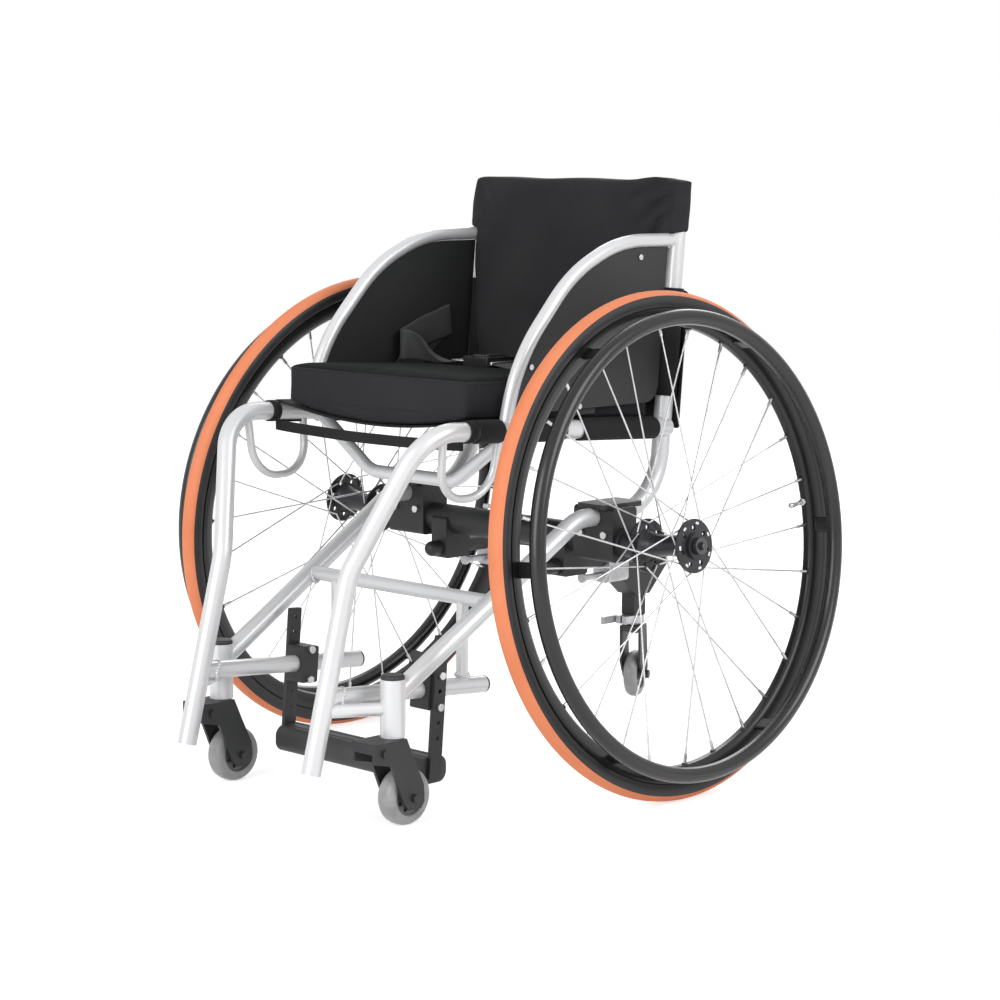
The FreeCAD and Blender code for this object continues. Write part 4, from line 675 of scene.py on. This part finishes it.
# Front strap
# A narrow upright band of the same nylon hangs under the seat's front edge, sewn into a loop round
# each seat tube. It keeps the sling's front from curling.

def strap_point(share, height):
    """A point of the hanging band: an arc from tube to tube, upright all along."""
    across = (share - 0.5) * 2
    ends = seat_tube(0, 0.2375)
    hang = 0.004 * (1 - across * across)
    level = ends.z - 0.0095 - hang - 0.0128 * (1 - height)
    return Vector((across * 0.1585, ends.y + 0.0006 * math.sin(across * 9), level))


band = laid("front_strap", 60, 6, strap_point)
piece = put("front_strap_band", band, sling_nylon, "frame", "sling_fabric")
thickened(piece, 0.0022)
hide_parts("front_strap")
tube_way = Vector((0, -0.99867, 0.05163))
loops = bmesh.new()
for hand in (-1, 1):
    ring = turned_ring([(0.01125, -0.006), (0.0127, -0.006), (0.0129, 0.0), (0.0127, 0.006), (0.01125, 0.006)], 40)
    place = Matrix.Translation(seat_tube(hand, 0.2375)) @ tube_way.to_track_quat("Z", "Y").to_matrix().to_4x4()
    ring.transform(place)
    spare = bpy.data.meshes.new("spare")
    ring.to_mesh(spare)
    ring.free()
    loops.from_mesh(spare)
    bpy.data.meshes.remove(spare)
put("front_strap_loops", loops, sling_nylon, "frame", "sling_fabric")

# Seat cushion
# A block of firm foam under a charcoal knit cover, whose sides draw in between the corners. Its slightly
# crowned top is given a darker black knit as painted shade, for a top the front lamps light less. A welt joins
# them, and the belly lies in the sling.

def knit(name, deep, pale, rough, sheen):
    """A fine stretch knit: tiny rounded stitches under a soft nap, a little uneven in tone."""
    material = finish(name, deep, pale, rough, 0, 7, 500, 0.2)
    nodes = material.node_tree.nodes
    links = material.node_tree.links
    shader = nodes["Principled BSDF"]
    shader.inputs["Sheen Weight"].default_value = sheen
    shader.inputs["Sheen Roughness"].default_value = 0.5
    shader.inputs["Specular IOR Level"].default_value = 0.12
    place = next(node for node in nodes if node.type == "TEX_COORD")
    bump = next(node for node in nodes if node.type == "BUMP")
    stitch = nodes.new("ShaderNodeTexVoronoi")
    stitch.inputs["Scale"].default_value = 1100
    links.new(place.outputs["Object"], stitch.inputs["Vector"])
    links.new(stitch.outputs["Distance"], bump.inputs["Height"])
    bump.inputs["Strength"].default_value = 0.4
    bump.inputs["Distance"].default_value = 0.0003
    return material


def evaluated(piece):
    """The mesh that a piece's modifiers give, as a bmesh."""
    form = bmesh.new()
    form.from_object(piece, bpy.context.evaluated_depsgraph_get())
    return form


def shaped_block(cuts, rule):
    """A closed block, evenly divided, whose points follow a rule of three shares from -1 to 1."""
    block = bmesh.new()
    bmesh.ops.create_cube(block, size=2.0)
    bmesh.ops.subdivide_edges(block, edges=block.edges[:], cuts=cuts, use_grid_fill=True)
    for point in block.verts:
        point.co = rule(point.co.x, point.co.y, point.co.z)
    return block


def stuffed(name, form, node, material, voxel, pressure, cap, held):
    """Swell a closed form like foam under its cover, no point farther than the cap."""
    piece = put(name, form, material, body_of_node(node), slot_of_node(node))
    even = piece.modifiers.new("even_mesh", "REMESH")
    even.mode = "VOXEL"
    even.voxel_size = voxel
    form = evaluated(piece)
    piece.modifiers.clear()
    form.to_mesh(piece.data)
    form.free()
    start = [point.co.copy() for point in piece.data.vertices]
    grip = piece.vertex_groups.new(name="grip")
    grip.add([point.index for point in piece.data.vertices if held(point.co)], 1.0, "ADD")
    cloth = piece.modifiers.new("cover", "CLOTH")
    cloth.settings.quality = 5
    cloth.settings.vertex_group_mass = "grip"
    cloth.settings.use_pressure = True
    cloth.settings.uniform_pressure_force = pressure
    cloth.settings.effector_weights.gravity = 0
    cloth.settings.tension_stiffness = 25
    cloth.settings.compression_stiffness = 25
    cloth.settings.bending_stiffness = 2.0
    for step in range(1, 21):
        scene.frame_set(step)
    form = evaluated(piece)
    piece.modifiers.clear()
    piece.vertex_groups.clear()
    for point, rest in zip(form.verts, start):
        move = point.co - rest
        if move.length > cap:
            point.co = rest + move * (cap / move.length)
    bmesh.ops.smooth_vert(form, verts=form.verts, factor=0.4, use_axis_x=True, use_axis_y=True, use_axis_z=True)
    form.to_mesh(piece.data)
    form.free()
    scene.frame_set(1)
    piece.data.shade_smooth()
    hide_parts(node)
    return piece


def crease(piece, start, end, depth, width):
    """Press a soft fold into a cloth face between two points, with a low swell on both sides."""
    start = Vector(start)
    run = Vector(end) - start
    for point in piece.data.vertices:
        share = max(0.0, min(1.0, (point.co - start).dot(run) / run.length_squared))
        away = (point.co - start - run * share).length
        fade = math.sin(math.pi * min(1.0, 0.12 + share * 0.88)) ** 0.7
        press = math.exp(-((away / width) ** 2)) - 0.45 * math.exp(-(((away - 2 * width) / width) ** 2))
        point.co -= point.normal * (depth * press * fade)


def welt(piece, name, spot, way, radius, material, keep=None):
    """A sewn welt along the line where a plane meets a padded piece."""
    form = evaluated(piece)
    found = bmesh.ops.bisect_plane(form, geom=form.verts[:] + form.edges[:] + form.faces[:], plane_co=spot,
                                   plane_no=way)
    line = [item for item in found["geom_cut"] if isinstance(item, bmesh.types.BMEdge)]
    if keep:
        line = [edge for edge in line if all(keep(point.co) for point in edge.verts)]
    drop = list(set(form.edges) - set(line))
    bmesh.ops.delete(form, geom=drop, context="EDGES")
    mesh = bpy.data.meshes.new(name)
    form.to_mesh(mesh)
    form.free()
    path = bpy.data.objects.new(name + "_path", mesh)
    scene.collection.objects.link(path)
    bpy.ops.object.select_all(action="DESELECT")
    bpy.context.view_layer.objects.active = path
    path.select_set(True)
    bpy.ops.object.convert(target="CURVE")
    path.data.bevel_depth = radius
    path.data.bevel_resolution = 2
    bpy.ops.object.convert(target="MESH")
    ring = evaluated(path)
    bpy.data.objects.remove(path)
    return put(name, ring, material, piece["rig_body"], piece["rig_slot"])


cushion_knit = knit("charcoal_cushion_knit", (0.020, 0.020, 0.023), (0.028, 0.028, 0.032), 0.85, 0.03)
# Painted shade: a darker knit for the cushion's top, which gets little light from the front.
cushion_top_painted_shade = knit("painted_shade_top_knit", (0.006, 0.007, 0.007), (0.011, 0.012, 0.012), 0.9, 0.0)
welt_cloth = woven("black_welt_cloth", (0.014, 0.014, 0.016), (0.022, 0.022, 0.025), 0.0008, 0.75, 0.03)
def cushion_point(across, along, rise):
    """A point of the foam block: square at its corners, crowned above, bellied like the sling below."""
    back = (along + 1) / 2
    half = 0.1482 + 0.0050 * min(1.0, back / 0.35)
    half += 0.0014 * rise * rise - 0.0014 * (1 - along * along)
    station = -0.1580 + back * 0.3050 - 0.0012 * (1 - across * across) * (1 - back)
    slope = (station + 0.1535) * 0.0517
    low = 0.4472 - slope - 0.0150 * (1 - across * across)
    high = 0.4905 - slope + 0.0036 * (1 - across ** 2) * (1 - along ** 4)
    return Vector((across * half, station, low + (high - low) * (rise + 1) / 2))


cushion = stuffed("seat_cushion_cover", shaped_block(27, cushion_point), "seat_cushion", cushion_knit, 0.0042,
                  1.2, 0.003, lambda spot: spot.z < 0.440)
cushion.data.materials.append(cushion_top_painted_shade)
# The up-facing top faces take the darker knit, as painted shade for the top.
for face in cushion.data.polygons:
    face.material_index = 1 if face.normal.z > 0.75 and face.center.z > 0.465 else 0
soft = cushion.modifiers.new("soft", "SUBSURF")
soft.levels = 1
soft.render_levels = 1
seat_up = Vector((0, 0.0516, 0.9987))
welt(cushion, "cushion_top_welt", (0, -0.1535, 0.4870), seat_up, 0.0008, welt_cloth)
welt(cushion, "cushion_low_welt", (0, -0.1535, 0.4500), seat_up, 0.0008, welt_cloth)

# Lap belt
# Black webbing comes up on both sides of the cushion. The strap on one side stands in a loose loop
# by the guard before it lies down across the cushion to the buckle.

def webbing(name):
    """Close belt webbing: ribs across the strap with a fine chevron of yarns."""
    material = woven(name, (0.040, 0.041, 0.042), (0.062, 0.063, 0.065), 0.0016, 0.6, 0.1)
    return material


belt_web = webbing("black_belt_webbing")


def smooth_run(points, share):
    """A point on the smooth line through a row of points, and its direction."""
    spans = len(points) - 1
    place = min(share * spans, spans - 0.000001)
    index = int(place)
    part = place - index
    rows = [points[max(0, min(spans, index + step))] for step in (-1, 0, 1, 2)]
    before, first, second, after = [Vector(row) for row in rows]
    spot = first * 2 + (second - before) * part + (before * 2 - first * 5 + second * 4 - after) * part ** 2
    spot = (spot + (first * 3 - before - second * 3 + after) * part ** 3) / 2
    return spot


def strap(name, centre, edges, width, wall, steps):
    """A ribbon along a smooth line whose width direction turns from stop to stop."""
    def rule(share, across):
        spot = smooth_run(centre, share)
        side = smooth_run(edges, share).normalized()
        return spot + side * (width * (across - 0.5))
    ribbon = laid(name, steps, 8, rule)
    piece = put(name, ribbon, belt_web, "frame", "belt_webbing")
    return thickened(piece, wall)


near_line = [(0.1563, 0.0315, 0.4405), (0.1565, 0.0315, 0.462), (0.1545, 0.0315, 0.4790), (0.145, 0.0315, 0.4862),
             (0.120, 0.0315, 0.4880), (0.085, 0.031, 0.4884), (0.050, 0.0315, 0.4888), (0.0215, 0.0315, 0.4925)]
near_edge = [(0, 1, 0)] * 8
far_line = [(-0.1570, 0.0315, 0.4405), (-0.1572, 0.0400, 0.4700), (-0.1576, 0.0700, 0.5020),
            (-0.1582, 0.1050, 0.5280), (-0.1578, 0.1220, 0.5340), (-0.1548, 0.1100, 0.5310),
            (-0.1540, 0.0750, 0.5220), (-0.1535, 0.0450, 0.5110), (-0.1520, 0.0305, 0.5070),
            (-0.1455, 0.0290, 0.5065), (-0.1370, 0.0370, 0.5060), (-0.1240, 0.0420, 0.5030),
            (-0.1080, 0.0400, 0.4990), (-0.0890, 0.0350, 0.4940), (-0.0640, 0.0315, 0.4898),
            (-0.0380, 0.0315, 0.4925)]
far_edge = [(0, 1, 0), (0, 0.93, -0.36), (0, 0.72, -0.7), (0, 0.45, -0.9), (0, 0.1, -1), (0, 0.2, -1),
            (0, 0.26, -1), (0, 0.1, -1), (0, 0, -1), (0, 0, -1), (0.1, 0.2, -0.95), (0.1, 0.4, -0.9),
            (0.05, 0.65, -0.75), (0, 0.9, -0.4), (0, 1, -0.08), (0, 1, 0)]
near_strap = strap("near_belt_strap", near_line, near_edge, 0.038, 0.0018, 64)
far_strap = strap("far_belt_strap", far_line, far_edge, 0.038, 0.0018, 150)
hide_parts("lap_belt")
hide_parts("lap_belt")

# Belt buckle
# A moulded push-button buckle with a pressed steel tongue on the far strap and a steel bar for the
# near one. The button sits in a well on top.

gloss_black = finish("moulded_gloss_black", (0.018, 0.018, 0.019), (0.027, 0.027, 0.029), 0.25, 0, 30, 1500, 0.1)
buckle = bmesh.new()
bmesh.ops.create_cube(buckle, size=1.0, matrix=Matrix.Translation((0, 0.0315, 0.4932)) @ Matrix.Diagonal(
    (0.043, 0.048, 0.0128, 1)))
lid = max(buckle.faces, key=lambda face: face.calc_center_median().z)
bmesh.ops.bevel(buckle, geom=[edge for edge in buckle.edges if edge not in lid.edges], offset=0.003, segments=3,
                profile=0.5, affect="EDGES", material=-1)
lid = max(buckle.faces, key=lambda face: (round(face.calc_center_median().z, 5), face.calc_area()))
bmesh.ops.inset_region(buckle, faces=[lid], thickness=0.0035, depth=0.0012)
bmesh.ops.inset_region(buckle, faces=[lid], thickness=0.0030, depth=0)
bmesh.ops.inset_region(buckle, faces=[lid], thickness=0.0004, depth=-0.0088)
piece = put("belt_buckle_shell", buckle, gloss_black, body_of_node("belt_buckle"), slot_of_node("belt_buckle"))
piece.data.set_sharp_from_angle(angle=math.radians(35))
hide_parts("belt_buckle")
smoothed("buckle_button", gloss_black, 0.001)


def steel_link(name, low, high):
    """A stamped steel plate with rounded edges."""
    plate = bmesh.new()
    low = Vector(low)
    high = Vector(high)
    bmesh.ops.create_cube(plate, size=1.0, matrix=Matrix.Translation((low + high) / 2) @ Matrix.Diagonal(
        (*(high - low), 1)))
    bmesh.ops.bevel(plate, geom=plate.edges[:], offset=0.0009, segments=2, profile=0.5, affect="EDGES", material=-1)
    put(name, plate, bright_steel, "frame", "bolt_steel")


steel_link("belt_tongue", (-0.0440, 0.0115, 0.4925), (-0.0180, 0.0515, 0.4951))
steel_link("belt_near_bar", (0.0205, 0.0110, 0.4900), (0.0255, 0.0520, 0.4950))

# Back upholstery
# A padded panel hangs in front of the back posts and its top folds over both, like a hood. The
# charcoal cover is drawn into soft creases where it turns round the near post.

back_cover = knit("charcoal_back_cover", (0.019, 0.019, 0.021), (0.029, 0.029, 0.031), 0.85, 0.03)


def post_y(height):
    """The station of the back posts at one height."""
    return 0.159 + (height - 0.319) * 0.08573


def rounded_off(spot, reach, radius):
    """Move a point of a rectangle's corner onto its rounded outline."""
    over = [abs(value) - (limit - radius) for value, limit in zip(spot, reach)]
    if min(over) <= 0:
        return spot
    length = math.hypot(*over)
    scale = max(over) / length
    return [math.copysign(limit - radius + part * scale, value)
            for value, limit, part in zip(spot, reach, over)]


def panel_half(height):
    """Half the panel's width, which grows from the hem to the shoulder."""
    stops = [(0.465, 0.1370), (0.499, 0.1425), (0.531, 0.1485), (0.569, 0.1540), (0.605, 0.1580), (0.640, 0.1592),
             (0.720, 0.1592)]
    low, high = next(pair for pair in zip(stops, stops[1:]) if height <= pair[1][0])
    share = (height - low[0]) / (high[0] - low[0])
    return low[1] + share * (high[1] - low[1])


def panel_point(across, depth, rise):
    """A point of the padded panel in front of the posts."""
    height = 0.4675 + (rise + 1) / 2 * 0.225
    half = panel_half(height)
    spot = rounded_off((across * half, depth * 0.0048), (half, 0.0048), 0.004)
    return Vector((spot[0], post_y(height) - 0.0174 + spot[1], height))


def hood_point(across, depth, rise):
    """A point of the top fold that covers both posts."""
    climb = (rise + 1) / 2
    half = 0.1745 - (0.0070 * climb ** 2 if across < 0 else 0)
    half -= 0.0006 * math.sin(climb * 9)
    front = depth < 0
    spot = rounded_off((across * half, depth * 0.0176), (half, 0.0176), 0.0172 if front else 0.009)
    crest = 0.7128 + 0.0022 * math.exp(-(((spot[0] - 0.128) / 0.022) ** 2)) - 0.0022 * max(0.0, across) ** 8
    crest += 0.0008 * math.sin(across * 8 + 1)
    height = 0.650 + climb * (crest - 0.650)
    return Vector((spot[0], post_y(height) - 0.005 + spot[1], height))


pad_form = shaped_block(31, panel_point)
hood_form = shaped_block(39, hood_point)
spare = bpy.data.meshes.new("spare")
hood_form.to_mesh(spare)
hood_form.free()
pad_form.from_mesh(spare)
bpy.data.meshes.remove(spare)
pad = stuffed("back_pad_cover", pad_form, "back_pad", back_cover, 0.0042, 1.6, 0.0028,
              lambda spot: spot.y > post_y(spot.z) - 0.012)


def fold(start, end, depth, width):
    """A crease on the front of the back, given by its width and height at both ends."""
    places = [(x, post_y(z) - 0.0224, z) for x, z in (start, end)]
    crease(pad, places[0], places[1], depth, width)


fold((0.172, 0.700), (0.118, 0.655), 0.0062, 0.0048)
fold((0.170, 0.684), (0.136, 0.636), 0.0062, 0.0042)
fold((0.158, 0.710), (0.100, 0.684), 0.0042, 0.0055)
fold((0.150, 0.668), (0.150, 0.645), 0.0044, 0.0040)
fold((0.166, 0.664), (0.162, 0.640), 0.0040, 0.0040)
fold((-0.150, 0.700), (-0.120, 0.660), 0.0030, 0.0070)
fold((0.060, 0.640), (0.010, 0.560), 0.0010, 0.0160)
fold((-0.090, 0.560), (-0.020, 0.520), 0.0009, 0.0160)
soft = pad.modifiers.new("soft", "SUBSURF")
soft.levels = 1
soft.render_levels = 1
welt(pad, "back_low_welt", (0, 0, 0.4745), Vector((0, 0, 1)), 0.0007, welt_cloth)

# Rear sling
# The back's load is taken by a nylon sheet behind the posts. It has a sleeve round each post and a
# wide loose flap below.

def flap_point(share, rise):
    """A point of the rear sheet, wide at its foot and narrow above the sleeves."""
    height = 0.4155 + rise * (0.6465 - 0.4155)
    half = 0.1755 if height < 0.584 else 0.1455
    across = (share - 0.5) * 2
    wave = 0.0012 * math.sin(across * 7 + 1) * math.sin(rise * 3.1) * (1 - across * across)
    return Vector((across * half, post_y(height) + 0.0131 + wave, height))


flap = laid("rear_flap", 70, 56, flap_point)
piece = put("rear_flap_cloth", flap, sling_nylon, "frame", "sling_fabric")
thickened(piece, 0.0024)
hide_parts("back_sling")
post_way = Vector((0.0066, 0.0854, 0.9963))
sleeves = bmesh.new()
for hand in (-1, 1):
    ring = turned_ring([(0.0115, -0.0645), (0.0139, -0.0645), (0.0142, -0.030), (0.0141, 0.020), (0.0139, 0.0645),
                        (0.0115, 0.0645)], 48)
    way = Vector((hand * post_way.x, post_way.y, post_way.z))
    centre = Vector((hand * (0.159 + 0.0066 * 0.2), post_y(0.5195), 0.5195))
    ring.transform(Matrix.Translation(centre) @ way.to_track_quat("Z", "Y").to_matrix().to_4x4())
    spare = bpy.data.meshes.new("spare")
    ring.to_mesh(spare)
    ring.free()
    sleeves.from_mesh(spare)
    bpy.data.meshes.remove(spare)
put("rear_sleeves", sleeves, sling_nylon, "frame", "sling_fabric")
